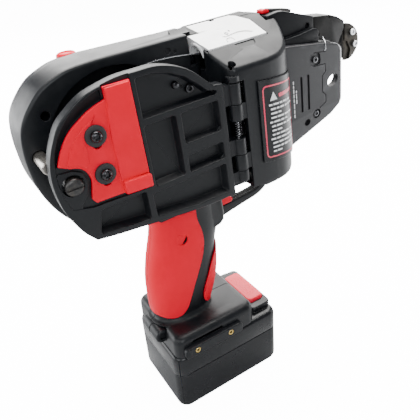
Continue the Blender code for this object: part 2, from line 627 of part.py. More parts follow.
def build_grips():
    """Skins over the handle, each cut back to its own side of the middle."""
    for side, cut_y0, cut_y1 in (("right", -0.2, 60), ("left", -60, 0.2)):
        for end, (z0, z1, outline) in GRIPS.items():
            grip = cut(handle_solid(1.6, z0, z1), handle_solid(0.25, z0 - 4, z1 + 4))
            grip = meet(grip, prism(outline, "y", -40, 40, FOOT))
            grip = cut(grip, box(-100, 60, cut_y0, cut_y1, -10, 200, FOOT))
            finish(grip, f"grip_{end}_{side}", RED, rough=0.45)


def build_trigger():
    trigger = prism(TRIGGER, "y", -6, 6, chamfer=0.8)
    finish(trigger, "trigger", RED, rough=0.4, origin=(24, 0, 118))
    switch = box(-16, 4.0, -5.5, 5.5, 107, 127)
    finish(switch, "trigger_switch", SWITCH_BLACK, rough=0.5)


# ---- foot fittings ----
def build_foot_fittings():
    knob = cylinder("y", KNOB, 6.4, KNOB_Y0, KNOB_Y1, frame=FOOT, chamfer=0.6)
    finish(knob, "torque_knob", BLACK, rough=0.35, frame=FOOT,
           origin=(KNOB[0], (KNOB_Y0 + KNOB_Y1) / 2, KNOB[1]))
    bar = prism(rounded_rect(-46.5, 10.5, 0.8, 10.6, 4.8, 5), "y", -41.3, -37.8, FOOT,
                chamfer=0.9, chamfer_end=False)
    for name, x in BAR_INSERTS.items():
        bar = cut(bar, cylinder("y", (x, BAR_Z), 2.8, -50, -30, 14, FOOT))
        insert = tube("y", (x, BAR_Z), 2.5, 1.2, -41.0, -37.9, 14, FOOT)
        finish(insert, "bar_insert_" + name, BRASS, rough=0.3, metal=1.0)
    finish(bar, "side_bar", BLACK, rough=0.38)

    terminals = box(-42.7, -34.6, -20, 20, 3.7, 9.0, FOOT)
    finish(terminals, "terminal_block", TERMINAL_BLACK, rough=0.5)
    for name, y in (("right", -12.0), ("left", 12.0)):
        blade = box(-34.3, -19, y - 0.4, y + 0.4, 4.4, 8.2, FOOT)
        finish(blade, "terminal_blade_" + name, BRASS, rough=0.3, metal=1.0)
    board = box(-40, 14, -28, 28, 12.4, 14.2, FOOT)
    finish(board, "controller_board", GREEN, rough=0.5)


# ---- battery pack; levels are z, inset ----
PACK_LOWER = [(0, 7.0), (2, 3.0), (5.5, 0.8), (9, 0.0), (PACK_SPLIT - GAP / 2, 0.0)]
PACK_UPPER = [(PACK_SPLIT + GAP / 2, 0.0), (55.5, 0.0), (58.4, 1.2), (59.7, 3.6)]
BUTTON = [(62.0, 0), (67.0, 0), (68.2, 1.0)]
CELL_X, CELL_PITCH, CELL_R, CELL_ROWS = -37.6, 18.6, 9.2, (40, 16)


def pack_form(levels):
    return stack([(z, rounded_rect(PACK_X0 + k, PACK_X1 - k, -PACK_HW + k, PACK_HW - k,
                                   9 - k * 0.4)) for z, k in levels], "z", WORLD)


def pack_hollow(z0, z1):
    half = PACK_HW - PACK_WALL
    return box(PACK_X0 + PACK_WALL, PACK_X1 - PACK_WALL, -half, half, z0, z1, WORLD)


def build_pack_case():
    lower = cut(pack_form(PACK_LOWER), pack_hollow(3.2, 60))
    finish(lower, "pack_case_lower", BLACK, rough=0.4)
    upper = join(
        pack_form(PACK_UPPER),
        # rail neck, rail flange, wider front end of the rail, button surround
        box(-34, 27, -22, 22, 58, 68.4, WORLD),
        box(-34, 27, -28, 28, 64.1, 68.4, WORLD),
        box(14, 26.6, -31, 31, 58, 68.4, WORLD),
        prism(rounded_rect(29, 51, -29, 29, 4, 3), "z", 58, 65, WORLD))
    upper = cut(
        upper,
        # three slots in the rear of the rail, the inside, button and latch wells
        *(box(-40, -10, y - 1.4, y + 1.4, 63.5, 72, WORLD) for y in (-12.0, 0.0, 12.0)),
        pack_hollow(30, 56.4),
        box(31.5, 49.5, -21.3, 21.3, 58.4, 72, WORLD),
        box(18.4, 22.6, -11.3, 11.3, 58.2, 72, WORLD))
    finish(upper, "pack_case_upper", BLACK, rough=0.4)


def build_pack_fittings():
    button = stack([(z, rounded_rect(31.9 + k, 49.1 - k, -20.9 + k, 20.9 - k, 2.5))
                    for z, k in BUTTON], "z", WORLD)
    finish(button, "pack_button", RED, rough=0.35, origin=(40.5, 0, 62), frame=WORLD)
    latch = box(18.8, 22.2, -10.9, 10.9, 61.5, 69.0, WORLD)
    finish(latch, "pack_latch", RED, rough=0.4, origin=(20.5, 0, 65), frame=WORLD)


def build_cells():
    """Two rows of five cells as one block: arcs forward over the top, then back below."""
    outline = []
    for z, columns, first in zip(CELL_ROWS, (range(5), range(4, -1, -1)), (math.pi, 0.0)):
        for i in columns:
            for k in range(9):
                t = first - math.pi * k / 8
                outline.append((CELL_X + CELL_PITCH * i + CELL_R * math.cos(t),
                                z + CELL_R * math.sin(t)))
    finish(prism(outline, "y", -32.5, 32.5, WORLD), "cell_block", BLUE, rough=0.4)


for build in (build_housing, build_reel_case, build_dome, build_reel_fittings,
              build_roof_parts, build_label, build_nose, build_curl_guide, build_lever,
              build_twist_drive, build_wire_feed, build_cover, build_hinge, build_latch,
              build_grips, build_trigger, build_foot_fittings, build_pack_case,
              build_pack_fittings, build_cells):
    build()
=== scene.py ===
# A cordless wire-tying tool standing on its battery pack, nose to +X and right side to -Y.
# Forms are drawn in millimetres and piece() scales them to metres. There are three frames:
# WORLD starts at the floor, FOOT 60 mm above it, and BODY is FOOT pitched 4 degrees nose up.
import random
from math import atan2, copysign, cos, pi, radians, sin, sqrt, tan

import bmesh
import bpy
from mathutils import Matrix, Vector


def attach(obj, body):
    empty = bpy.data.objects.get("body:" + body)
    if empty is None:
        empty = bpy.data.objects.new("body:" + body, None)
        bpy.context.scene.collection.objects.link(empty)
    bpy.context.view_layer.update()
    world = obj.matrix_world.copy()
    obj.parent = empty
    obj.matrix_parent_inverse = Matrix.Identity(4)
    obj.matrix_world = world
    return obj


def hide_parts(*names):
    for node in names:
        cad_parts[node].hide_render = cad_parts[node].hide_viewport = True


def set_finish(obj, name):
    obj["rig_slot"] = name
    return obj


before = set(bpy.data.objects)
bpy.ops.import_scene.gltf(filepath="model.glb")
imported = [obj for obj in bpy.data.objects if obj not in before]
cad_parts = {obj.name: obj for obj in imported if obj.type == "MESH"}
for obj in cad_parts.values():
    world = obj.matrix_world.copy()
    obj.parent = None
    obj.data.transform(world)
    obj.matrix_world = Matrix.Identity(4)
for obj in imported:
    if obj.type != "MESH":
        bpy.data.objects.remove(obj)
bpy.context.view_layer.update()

# ---------------------------------------------------------------- frames and driving sizes
MM = 0.001
PACK_H = 60
PACK_X0, PACK_X1, PACK_HALF_Y, PACK_WALL = -54, 52, 37.5, 2.6
FOOT_X0, FOOT_X1, FOOT_HALF_Y = -52, 27, 37.5
FOOT_SIDE_H, FOOT_ROUND_H = 12.6, 7.9
SHELL_WALL = 3
RIDGE_Z, RIDGE_Y = 252, 4  # the roof's ridge
ROOF_RIGHT, ROOF_LEFT = 0.5, 0.45  # fall of the roof per mm on each side of the ridge
BELLY_Z = 139.5
HINGE_X, HINGE_Y, KNUCKLE_R, HINGE_PIN_R = 29, -40, 5, 1.5
HINGE = (HINGE_X, HINGE_Y)
COVER_Y0, COVER_Y1 = -42, -33
CASE_Y0, CASE_Y1 = -12, 16
PANEL_X0, PANEL_Z0, PANEL_Z1 = 45.8, 152.6, 215.6
PRINT_LOW, PRINT_HIGH = -0.1, 0.12  # underside and top of the print above the panel
# centres in body (x, z)
REEL, REEL_R = (-45, 196), 48.5
STUD, POST = (-92, 190.2), (-100.5, 202)
COVER_SCREWS = (("front", (-2.8, 223.4)), ("rear", (-12.4, 228.4)))
LATCH_SCREWS = (("upper", (-72, 216.5)), ("lower", (-72, 191.5)))
JAW_BOLTS = (("upper", (120.8, 207.2), -20.6), ("lower", (121.4, 161.3), -19.5))  # last: head y
DISC_BOLTS = (("upper", (174.6, 215.2)), ("lower", (178, 204.6)))
GRIP_RECESS = (-26.5, 98.5)  # x, z in the foot frame
REEL_STOP = (-56, 31)  # body x, y

WORLD = Matrix.Identity(4)
FOOT = Matrix.Translation((0, 0, PACK_H))
BODY = FOOT @ Matrix.Rotation(-radians(4), 4, "Y")


# ---------------------------------------------------------------- outlines
def put(point, axis, along):
    """A 3D point from a 2D point and a distance along the axis across it."""
    a, b = point
    return {"x": (along, a, b), "y": (a, along, b), "z": (a, b, along)}[axis]


def inset(outline, distance):
    """Moves a closed outline inwards, or outwards if the distance is negative."""
    turn = sum(a[0] * b[1] - b[0] * a[1] for a, b in zip(outline, outline[1:] + outline[:1]))
    side = 1 if turn > 0 else -1
    moved = []
    for i, point in enumerate(outline):
        corner = Vector(point)
        into = (corner - Vector(outline[i - 1])).normalized()
        away = (Vector(outline[(i + 1) % len(outline)]) - corner).normalized()
        normal = Vector((-into.y, into.x)) * side
        both = normal + Vector((-away.y, away.x)) * side
        size = both.length_squared
        # a very sharp corner isn't mitred
        shift = both * (2 * distance / size) if size > 0.35 else normal * distance
        moved.append(tuple(corner + shift))
    return moved


def fillet(outline, radius, steps=5):
    """Rounds the corners of a closed outline."""
    rounded = []
    for i, point in enumerate(outline):
        corner = Vector(point)
        back = Vector(outline[i - 1]) - corner
        ahead = Vector(outline[(i + 1) % len(outline)]) - corner
        limit = min(back.length * 0.48, ahead.length * 0.48)
        back.normalize()
        ahead.normalize()
        angle = back.angle(ahead)
        if angle > radians(168):
            rounded.append(tuple(corner))
            continue
        reach = min(radius / tan(angle / 2), limit)
        fitted = reach * tan(angle / 2)
        centre = corner + (back + ahead).normalized() * (fitted / sin(angle / 2))
        first = corner + back * reach - centre
        last = corner + ahead * reach - centre
        start = atan2(first.y, first.x)
        swing = (atan2(last.y, last.x) - start + pi) % (2 * pi) - pi
        for k in range(steps + 1):
            turn = start + swing * k / steps
            rounded.append((centre.x + fitted * cos(turn), centre.y + fitted * sin(turn)))
    return rounded


def spline(points, steps=4):
    """Points on an open Catmull-Rom curve."""
    curve = []
    for i in range(len(points) - 1):
        p1, p2 = Vector(points[i]), Vector(points[i + 1])
        p0 = Vector(points[i - 1]) if i else p1 + (p1 - p2) * 0.5
        p3 = Vector(points[i + 2]) if i + 2 < len(points) else p2 + (p2 - p1) * 0.5
        for j in range(steps):
            t = j / steps
            curve.append(tuple(0.5 * (
                2 * p1 + (p2 - p0) * t + (2 * p0 - 5 * p1 + 4 * p2 - p3) * t * t
                + (3 * p1 - p0 - 3 * p2 + p3) * t ** 3)))
    return curve + [tuple(points[-1])]


def offset_path(path, distance):
    """Moves an open path to the right of its direction of travel."""
    moved = []
    for i, point in enumerate(path):
        a, b = Vector(path[max(i - 1, 0)]), Vector(path[min(i + 1, len(path) - 1)])
        heading = (b - a).normalized()
        moved.append((point[0] + heading.y * distance, point[1] - heading.x * distance))
    return moved


def band(path, first, second):
    """The closed outline between two offsets of a path."""
    return offset_path(path, first) + offset_path(path, second)[::-1]


def circle(centre, radius, count=48, phase=0):
    turns = [phase + 2 * pi * i / count for i in range(count)]
    return [(centre[0] + radius * cos(t), centre[1] + radius * sin(t)) for t in turns]


def rect(x0, x1, y0, y1):
    return [(x0, y0), (x1, y0), (x1, y1), (x0, y1)]


def rounded_rect(x0, x1, y0, y1, r, steps=8):
    points = []
    corners = ((x1 - r, y1 - r, 0), (x0 + r, y1 - r, 90), (x0 + r, y0 + r, 180), (x1 - r, y0 + r, 270))
    for x, y, start in corners:
        for i in range(steps + 1):
            turn = radians(start + 90 * i / steps)
            points.append((x + r * cos(turn), y + r * sin(turn)))
    return points


# ---------------------------------------------------------------- solids
def mesh_data(bm, name="form"):
    data = bpy.data.meshes.new(name)
    bm.to_mesh(data)
    bm.free()
    return data


def add_object(name, data):
    item = bpy.data.objects.new(name, data)
    bpy.context.scene.collection.objects.link(item)
    return item


def finish_form(bm, frame):
    """Welds a closed form, turns its faces outwards and moves it into the world."""
    bmesh.ops.remove_doubles(bm, verts=bm.verts, dist=1e-4)
    bmesh.ops.recalc_face_normals(bm, faces=bm.faces)
    if bm.calc_volume(signed=True) < 0:
        bmesh.ops.reverse_faces(bm, faces=bm.faces)
    bm.transform(frame)
    return add_object("form", mesh_data(bm))


def loft(rings, frame=BODY, closed=False):
    """Skins rings of equal count, and either caps the ends or joins last to first."""
    bm = bmesh.new()
    rows = [[bm.verts.new(point) for point in ring] for ring in rings]
    if closed:
        rows.append(rows[0])
    count = len(rows[0])
    for a, b in zip(rows, rows[1:]):
        for i in range(count):
            j = (i + 1) % count
            bm.faces.new((a[i], a[j], b[j], b[i]))
    if not closed:
        bm.faces.new(rows[0][::-1])
        bm.faces.new(rows[-1])
    return finish_form(bm, frame)


def revolve(profile, axis, centre, frame=BODY, count=48):
    """Turns (radius, distance along) points about an axis through centre.

    The profile starts and ends on the axis, or closes on itself as a ring.
    """
    bm = bmesh.new()
    rows = []
    for radius, along in profile:
        ring = [centre] if radius < 1e-6 else circle(centre, radius, count)
        rows.append([bm.verts.new(put(point, axis, along)) for point in ring])
    for a, b in zip(rows, rows[1:]):
        for i in range(count):
            j = (i + 1) % count
            corners = (a[i % len(a)], a[j % len(a)], b[j % len(b)], b[i % len(b)])
            bm.faces.new(list(dict.fromkeys(corners)))  # three corners next to the axis
    return finish_form(bm, frame)


def prism(outline, axis, start, end, frame=BODY, radius=0, ends="ab", steps=4):
    """Carries an outline along an axis. Ends a (start) and b (end) can be rounded."""
    def end_rings(key, level, inward):
        if not radius or key not in ends:
            return [[put(point, axis, level) for point in outline]]
        rings = []
        for k in range(steps + 1):
            turn = pi / 2 * k / steps
            along = level + inward * radius * (1 - cos(turn))
            points = inset(outline, radius * (1 - sin(turn)))
            rings.append([put(point, axis, along) for point in points])
        return rings

    return loft(end_rings("a", start, 1) + end_rings("b", end, -1)[::-1], frame)


def box(x0, x1, y0, y1, z0, z1, frame=BODY):
    return prism(rect(x0, x1, y0, y1), "z", z0, z1, frame)


def cylinder(axis, centre, radius, start, end, count=48, frame=BODY, edge=0):
    return prism(circle(centre, radius, count), axis, start, end, frame, edge, steps=3)


def sweep(path, radius, count):
    """A round wire along a 3D path."""
    points = [Vector(p) for p in path]
    rings, up = [], None
    for i, p in enumerate(points):
        heading = (points[min(i + 1, len(points) - 1)] - points[max(i - 1, 0)]).normalized()
        if up is None:
            up = Vector((0, 1, 0)) if abs(heading.y) < 0.9 else Vector((1, 0, 0))
        side = heading.cross(up).normalized()
        up = side.cross(heading).normalized()
        turns = [2 * pi * k / count for k in range(count)]
        rings.append([p + (side * cos(t) + up * sin(t)) * radius for t in turns])
    return loft(rings)


def bake(form):
    graph = bpy.context.evaluated_depsgraph_get()
    data = bpy.data.meshes.new_from_object(form.evaluated_get(graph))
    form.modifiers.clear()
    form.data = data
    return form


def combine(form, tool, operation):
    """Applies a boolean and uses up the tool."""
    before = form.data
    # the later settings guard against a boolean that fails and leaves an empty mesh
    for solver, use_self in (("EXACT", False), ("EXACT", True), ("FAST", False)):
        boolean = form.modifiers.new("boolean", "BOOLEAN")
        boolean.operation = operation
        boolean.object = tool
        boolean.solver = solver
        boolean.use_self = use_self
        bake(form)
        if len(form.data.vertices) > 3:
            break
        form.data = before
    bpy.data.objects.remove(tool, do_unlink=True)
    return form


def cut(form, *tools):
    for tool in tools:
        combine(form, tool, "DIFFERENCE")
    return form


def join(form, *others):
    for other in others:
        combine(form, other, "UNION")
    return form


def meet(form, other):
    return combine(form, other, "INTERSECT")


def merge(*forms):
    """Puts several closed bodies into one object without a boolean."""
    bm = bmesh.new()
    for form in forms:
        bm.from_mesh(form.data)
    forms[0].data = mesh_data(bm)
    for form in forms[1:]:
        bpy.data.objects.remove(form, do_unlink=True)
    return forms[0]


def add_bevel(form, width, segments, angle, clamp=False):
    bevel = form.modifiers.new("edge", "BEVEL")
    bevel.width = width
    bevel.segments = segments
    bevel.limit_method = "ANGLE"
    bevel.angle_limit = radians(angle)
    bevel.use_clamp_overlap = clamp
    return bevel


def soften(form, width, segments=3, angle=30):
    """Rounds the edges of a simple form before it is cut."""
    add_bevel(form, width, segments, angle)
    return bake(form)


def copy_of(form):
    return add_object("form", form.data.copy())


def mirrored(form):
    """A copy of a form on the other side of the centre plane."""
    twin = copy_of(form)
    bm = bmesh.new()
    bm.from_mesh(twin.data)
    bm.transform(Matrix.Scale(-1, 4, (0, 1, 0)))
    bmesh.ops.reverse_faces(bm, faces=bm.faces)
    bm.to_mesh(twin.data)
    bm.free()
    return twin


def piece(form, name, material, node=None, body="tool", bevel=0, segments=2, smooth=34,
          fill_first=False):
    """Scales a form to metres, rounds its edges, and ties it to its CAD body and node."""
    bm = bmesh.new()
    bm.from_mesh(form.data)
    if fill_first:  # long outlines are filled before points merge, or a fill may span an opening
        bmesh.ops.triangulate(bm, faces=[f for f in bm.faces if len(f.verts) > 60],
                              quad_method="BEAUTY", ngon_method="EAR_CLIP")
    bmesh.ops.scale(bm, vec=(MM, MM, MM), verts=bm.verts)
    bmesh.ops.remove_doubles(bm, verts=bm.verts, dist=2e-5)
    bmesh.ops.dissolve_degenerate(bm, dist=1e-5, edges=bm.edges)
    for face in bm.faces:
        face.smooth = True
    form.data = mesh_data(bm, name)
    form.name = name
    form.data.set_sharp_from_angle(angle=radians(smooth))
    if bevel:
        edge = add_bevel(form, bevel * MM, segments, smooth)
        edge.harden_normals = True
        edge.miter_outer = "MITER_ARC"
    form.data.materials.append(material)
    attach(form, body)
    if node:
        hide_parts(node)
        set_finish(form, node)
    return form


# ---------------------------------------------------------------- materials
class Shader:
    """A material and short ways to add nodes to it."""

    def __init__(self, name):
        self.material = bpy.data.materials.new(name)
        self.material.use_nodes = True
        self.tree = self.material.node_tree
        self.surface = self.tree.nodes["Principled BSDF"]
        self.coords = self.new("ShaderNodeTexCoord")
        self.geometry = self.new("ShaderNodeNewGeometry")

    def new(self, kind, **settings):
        node = self.tree.nodes.new(kind)
        for key, value in settings.items():
            setattr(node, key, value)
        return node

    def link(self, output, target):
        self.tree.links.new(output, target)

    def feed(self, output, name):
        self.link(output, self.surface.inputs[name])

    def noise(self, scale, detail=3, rough=0.55, stretch=(1, 1, 1)):
        mapping = self.new("ShaderNodeMapping")
        mapping.inputs["Scale"].default_value = stretch
        self.link(self.coords.outputs["Object"], mapping.inputs["Vector"])
        noise = self.new("ShaderNodeTexNoise")
        noise.inputs["Scale"].default_value = scale
        noise.inputs["Detail"].default_value = detail
        noise.inputs["Roughness"].default_value = rough
        self.link(mapping.outputs["Vector"], noise.inputs["Vector"])
        return noise.outputs["Fac"]

    def ramp(self, value, *stops):
        """Two stops of (position, colour or grey level)."""
        ramp = self.new("ShaderNodeValToRGB")
        for element, (position, colour) in zip(ramp.color_ramp.elements, stops):
            element.position = position
            element.color = (*colour, 1) if isinstance(colour, tuple) else (*[colour] * 3, 1)
        self.link(value, ramp.inputs["Fac"])
        return ramp.outputs["Color"]

    def mix(self, amount, base, colour):
        mix = self.new("ShaderNodeMix", data_type="RGBA")
        self.link(amount, mix.inputs[0])
        self.link(base, mix.inputs[6])
        mix.inputs[7].default_value = (*colour, 1)
        return mix.outputs[2]

    def math(self, operation, *values):
        node = self.new("ShaderNodeMath", operation=operation)
        for socket, value in zip(node.inputs, values):
            if isinstance(value, (int, float)):
                socket.default_value = value
            else:
                self.link(value, socket)
        return node.outputs[0]

    def bump(self, height, strength, distance):
        bump = self.new("ShaderNodeBump")
        bump.inputs["Strength"].default_value = strength
        bump.inputs["Distance"].default_value = distance
        self.link(height, bump.inputs["Height"])
        self.feed(bump.outputs["Normal"], "Normal")

    def wear(self, low, high):
        """White on outer edges."""
        return self.ramp(self.geometry.outputs["Pointiness"], (low, 0), (high, 1))


def plastic(name, dark, light, edge, rough, grain=1800, bump=0.12, spec=0.5):
    """Mottled plastic with specks and worn edges in the edge colour; grain scales the bump."""
    s = Shader(name)
    base = s.ramp(s.noise(45, detail=5), (0.35, dark), (0.68, light))
    speck = s.ramp(s.noise(420, detail=2), (0.62, 0), (0.74, 1))
    base = s.mix(s.math("MULTIPLY", speck, 0.12), base, edge)
    patches = s.wear(0.53, 0.6), s.ramp(s.noise(160, detail=4), (0.4, 0.15), (0.6, 0.75))
    worn = s.math("MULTIPLY", *patches)
    s.feed(s.mix(worn, base, edge), "Base Color")
    roughness = s.ramp(s.noise(90, detail=4), (0.3, rough[0]), (0.7, rough[1]))
    s.feed(s.math("SUBTRACT", roughness, s.math("MULTIPLY", worn, 0.08)), "Roughness")
    s.surface.inputs["Specular IOR Level"].default_value = spec
    s.surface.inputs["Coat Roughness"].default_value = 0.15
    s.bump(s.noise(grain, detail=2), strength=bump, distance=0.00012)
    return s.material


def metal(name, base, light, rough, scale, bump, stretch=(1, 1, 1), metallic=1,
          dirt=(0.05, 0.045, 0.04), dirty=0.35):
    """Metal with patches of dirt and light edges; scale and stretch shape its grain."""
    s = Shader(name)
    colour = s.ramp(s.noise(scale, 4, 0.6, stretch), (0.3, base), (0.7, light))
    grime = s.math("MULTIPLY", s.ramp(s.noise(120, detail=5), (0.5, 0), (0.72, 1)), dirty)
    colour = s.mix(grime, colour, dirt)
    s.feed(s.mix(s.math("MULTIPLY", s.wear(0.52, 0.62), 0.5), colour, light), "Base Color")
    roughness = s.ramp(s.noise(scale * 0.6, 3, 0.6, stretch), (0.3, rough[0]), (0.7, rough[1]))
    s.feed(s.math("ADD", roughness, s.math("MULTIPLY", grime, 0.4)), "Roughness")
    s.surface.inputs["Metallic"].default_value = metallic
    s.bump(s.noise(scale, 3, 0.6, stretch), strength=bump, distance=0.0001)
    return s.material


BLACK = plastic("black_nylon", dark=(0.0030, 0.0038, 0.0054), light=(0.0048, 0.0058, 0.0076),
                edge=(0.022, 0.024, 0.028), rough=(0.34, 0.44), spec=0.34)
BLACK_INNER = plastic("black_nylon_inner", dark=(0.0060, 0.0064, 0.0075),
                      light=(0.0085, 0.009, 0.010), edge=(0.022, 0.023, 0.026), rough=(0.45, 0.58))
PACK_BLACK = plastic("pack_black", dark=(0.0050, 0.0056, 0.0070), light=(0.0072, 0.0078, 0.0096),
                     edge=(0.030, 0.032, 0.036), rough=(0.20, 0.29), grain=2600, bump=0.05,
                     spec=0.36)
NOSE_BLACK = plastic("nose_black", dark=(0.0165, 0.0165, 0.0190), light=(0.0215, 0.0215, 0.0240),
                     edge=(0.075, 0.077, 0.082), rough=(0.36, 0.48), grain=1400, bump=0.14)
FRAME_BLACK = plastic("frame_black", dark=(0.0028, 0.0034, 0.0046), light=(0.0042, 0.0050, 0.0064),
                      edge=(0.022, 0.024, 0.028), rough=(0.32, 0.42), bump=0.08, spec=0.17)
RED = plastic("red_plastic", dark=(0.78, 0.0004, 0.020), light=(0.84, 0.0008, 0.025),
              edge=(0.94, 0.015, 0.05), rough=(0.30, 0.38), bump=0.06, spec=0.13)
RED_GRIP = plastic("red_overmould", dark=(0.79, 0.0004, 0.020), light=(0.85, 0.0008, 0.025),
                   edge=(0.90, 0.015, 0.05), rough=(0.42, 0.54), grain=2400, bump=0.2, spec=0.12)
RED_BUTTON = plastic("red_button", dark=(0.86, 0.004, 0.034), light=(0.92, 0.008, 0.040),
                     edge=(0.92, 0.05, 0.09), rough=(0.38, 0.5), grain=1100, bump=0.35)
RUBBER = plastic("black_rubber", dark=(0.008, 0.0082, 0.009), light=(0.012, 0.0122, 0.013),
                 edge=(0.03, 0.03, 0.032), rough=(0.55, 0.7), grain=1500, bump=0.2)
ALUMINIUM = metal("feed_aluminium", base=(0.92, 0.92, 0.925), light=(0.99, 0.99, 0.99),
                  rough=(0.26, 0.38), stretch=(3, 40, 3), scale=60, bump=0.05, metallic=0.35,
                  dirt=(0.6, 0.59, 0.57), dirty=0.2)
BRIGHT = metal("bright_steel", base=(0.62, 0.63, 0.65), light=(0.88, 0.89, 0.91),
               rough=(0.14, 0.26), scale=700, bump=0.06)
TURNED = metal("turned_steel", base=(0.45, 0.455, 0.47), light=(0.66, 0.67, 0.69),
               rough=(0.22, 0.36), stretch=(1, 30, 1), scale=90, bump=0.08)
DARK_STEEL = metal("dark_steel", base=(0.030, 0.030, 0.032), light=(0.075, 0.073, 0.070),
                   rough=(0.3, 0.45), scale=260, bump=0.16, metallic=0.85,
                   dirt=(0.14, 0.12, 0.10), dirty=0.5)
SCREW_DARK = metal("blackened_screw", base=(0.030, 0.030, 0.033), light=(0.065, 0.065, 0.070),
                   rough=(0.16, 0.28), scale=400, bump=0.05)
POST_STEEL = metal("post_steel", base=(0.36, 0.33, 0.30), light=(0.56, 0.53, 0.49),
                   rough=(0.24, 0.36), stretch=(1, 30, 1), scale=90, bump=0.08)
GUIDE_STEEL = plastic("guide_steel", dark=(0.0036, 0.0036, 0.0038), light=(0.0075, 0.0072, 0.0070),
                      edge=(0.040, 0.038, 0.034), rough=(0.34, 0.46), grain=260, bump=0.14,
                      spec=0.20)
# light grey for the jaw plates' front edges: a painted highlight where the rounded edges catch the
# light
RIM_HIGHLIGHT = metal("jaw_rim_metal", base=(0.46, 0.46, 0.47), light=(0.66, 0.66, 0.67),
                  rough=(0.26, 0.38), scale=300, bump=0.06, metallic=0.5)
BOLT_STEEL = metal("bolt_steel", base=(0.09, 0.09, 0.095), light=(0.22, 0.22, 0.23),
                   rough=(0.24, 0.38), scale=500, bump=0.08)
BLUED = metal("blued_steel", base=(0.014, 0.013, 0.0115), light=(0.052, 0.047, 0.041),
              rough=(0.3, 0.42), scale=180, bump=0.14, metallic=0.9,
              dirt=(0.12, 0.10, 0.08), dirty=0.4)
BRASS = metal("brass", base=(0.62, 0.40, 0.11), light=(0.86, 0.62, 0.22),
              rough=(0.2, 0.32), scale=500, bump=0.06)
PANEL_FILM = plastic("panel_film", dark=(0.0050, 0.0055, 0.0068), light=(0.0072, 0.0078, 0.0092),
                     edge=(0.02, 0.021, 0.024), rough=(0.26, 0.34), bump=0.04, spec=0.34)
PRINT_RED = plastic("print_red", dark=(0.80, 0.01, 0.085), light=(0.88, 0.02, 0.105),
                    edge=(0.80, 0.12, 0.15), rough=(0.35, 0.42), bump=0.03)
PRINT_WHITE = plastic("print_white", dark=(0.82, 0.82, 0.83), light=(0.92, 0.92, 0.93),
                      edge=(0.94, 0.94, 0.95), rough=(0.38, 0.46), bump=0.03)
BOARD = plastic("board", dark=(0.01, 0.09, 0.035), light=(0.02, 0.13, 0.05),
                edge=(0.10, 0.22, 0.12), rough=(0.3, 0.45), bump=0.08)
CELL_WRAP = plastic("cell_wrap", dark=(0.02, 0.09, 0.28), light=(0.03, 0.12, 0.34),
                    edge=(0.12, 0.22, 0.42), rough=(0.28, 0.4), bump=0.05)


# ---------------------------------------------------------------- handle
# height z, rear x, front x and half width y, in the foot frame
HANDLE = [
    (14, -50, -2, 16.5), (22, -51, -1, 17), (30, -52.5, 2, 17.5), (40, -53, 5.5, 18),
    (50, -53, 8, 18.5), (60, -52.5, 9.3, 18.5), (70, -51, 9.8, 18.3), (80, -49, 10.5, 18),
    (90, -46.5, 13, 17.5), (100, -44, 15, 17), (112, -42.5, 15, 16.5), (124, -43, 14, 17),
    (134, -44, 14, 18)]
HANDLE_CURVE = spline(HANDLE, 6)


def handle_at(z):
    """Rear x, front x and half width at a height."""
    for a, b in zip(HANDLE_CURVE, HANDLE_CURVE[1:]):
        if a[0] <= z <= b[0] + 1e-9:
            part = (z - a[0]) / (b[0] - a[0])
            return [a[k] + (b[k] - a[k]) * part for k in (1, 2, 3)]


def handle_ring(z, grow, flare, count=72, power=2.35):
    """A superellipse section. The flare widens it where it runs into the foot."""
    rear, front, half_y = handle_at(z)
    if flare and z < 26:
        drop = min(1, (26 - max(z, 20.4)) / 5.6)
        grow += 5.2 * (1 - sqrt(max(0, 1 - drop * drop)))
    middle, half_x, half_y = (rear + front) / 2, (front - rear) / 2 + grow, half_y + grow
    ring = []
    for i in range(count):
        c, s = cos(2 * pi * i / count), sin(2 * pi * i / count)
        ring.append((middle + half_x * copysign(abs(c) ** (2 / power), c),
                     half_y * copysign(abs(s) ** (2 / power), s), z))
    return ring


def handle_solid(grow, z0, z1, step=3, flare=True):
    heights = [z0]
    while heights[-1] < z1 - 0.2:
        rise = 0.7 if flare and heights[-1] < 26.5 else step
        heights.append(min(z1, heights[-1] + rise))
    return loft([handle_ring(z, grow, flare) for z in heights], FOOT)


# ---------------------------------------------------------------- clamshell
# upper block from above (x, y), from the right (x, z), and its lower edge (inset, z)
PLAN = ([(22, -22), (23.5, -30), (25.5, -38)] + spline([(25.5, -38), (29, -43), (35, -44)])[1:]
        + [(46, -44.05)] + spline([
            (58, -44), (66, -43), (72, -41), (77.5, -37.5), (83, -31.5), (89, -20.5), (93.5, -9),
            (95, 0), (94, 9), (89, 22), (82, 31), (74, 37), (64, 40)], 5) + [(22, 40)])
SIDE = ([(10, 137.4)] + spline([(40, 135.4), (45.5, 133.4), (49.5, 130.6), (52, 128)])
        + [(52, 100), (120, 100), (120, 258), (10, 258)])
BLOCK_Z, BLOCK_TOP = 131.3, 262
BLOCK_EDGE = [(2.8, BLOCK_Z), (1.9, 131.55), (1.1, 132.2), (0.5, 133.2), (0.13, 134.5), (0, 136)]
# everything above the roof, (y, z)
ROOF = [(-60, RIDGE_Z - ROOF_RIGHT * (RIDGE_Y + 60)), (RIDGE_Y, RIDGE_Z), (8.4, RIDGE_Z + 0.3),
        (60, RIDGE_Z - ROOF_LEFT * (60 - RIDGE_Y)), (60, 300), (-60, 300)]
# trigger guard (x, z), outer and inner line
GUARD = ([(13, 91.5)] + spline([
    (31, 94.6), (48, 97.2), (60, 98.7), (66.5, 100.2), (72.5, 103), (76.8, 107.2), (79.4, 113),
    (80.6, 122)]) + [(80.6, 134), (74.6, 134)])
GUARD_INNER = spline([(74.4, 122), (73.2, 114.6), (70.6, 109.4), (66, 106), (58, 104.6),
                      (45, 104.2), (31, 103.8), (22, 103.8), (19, 107)])
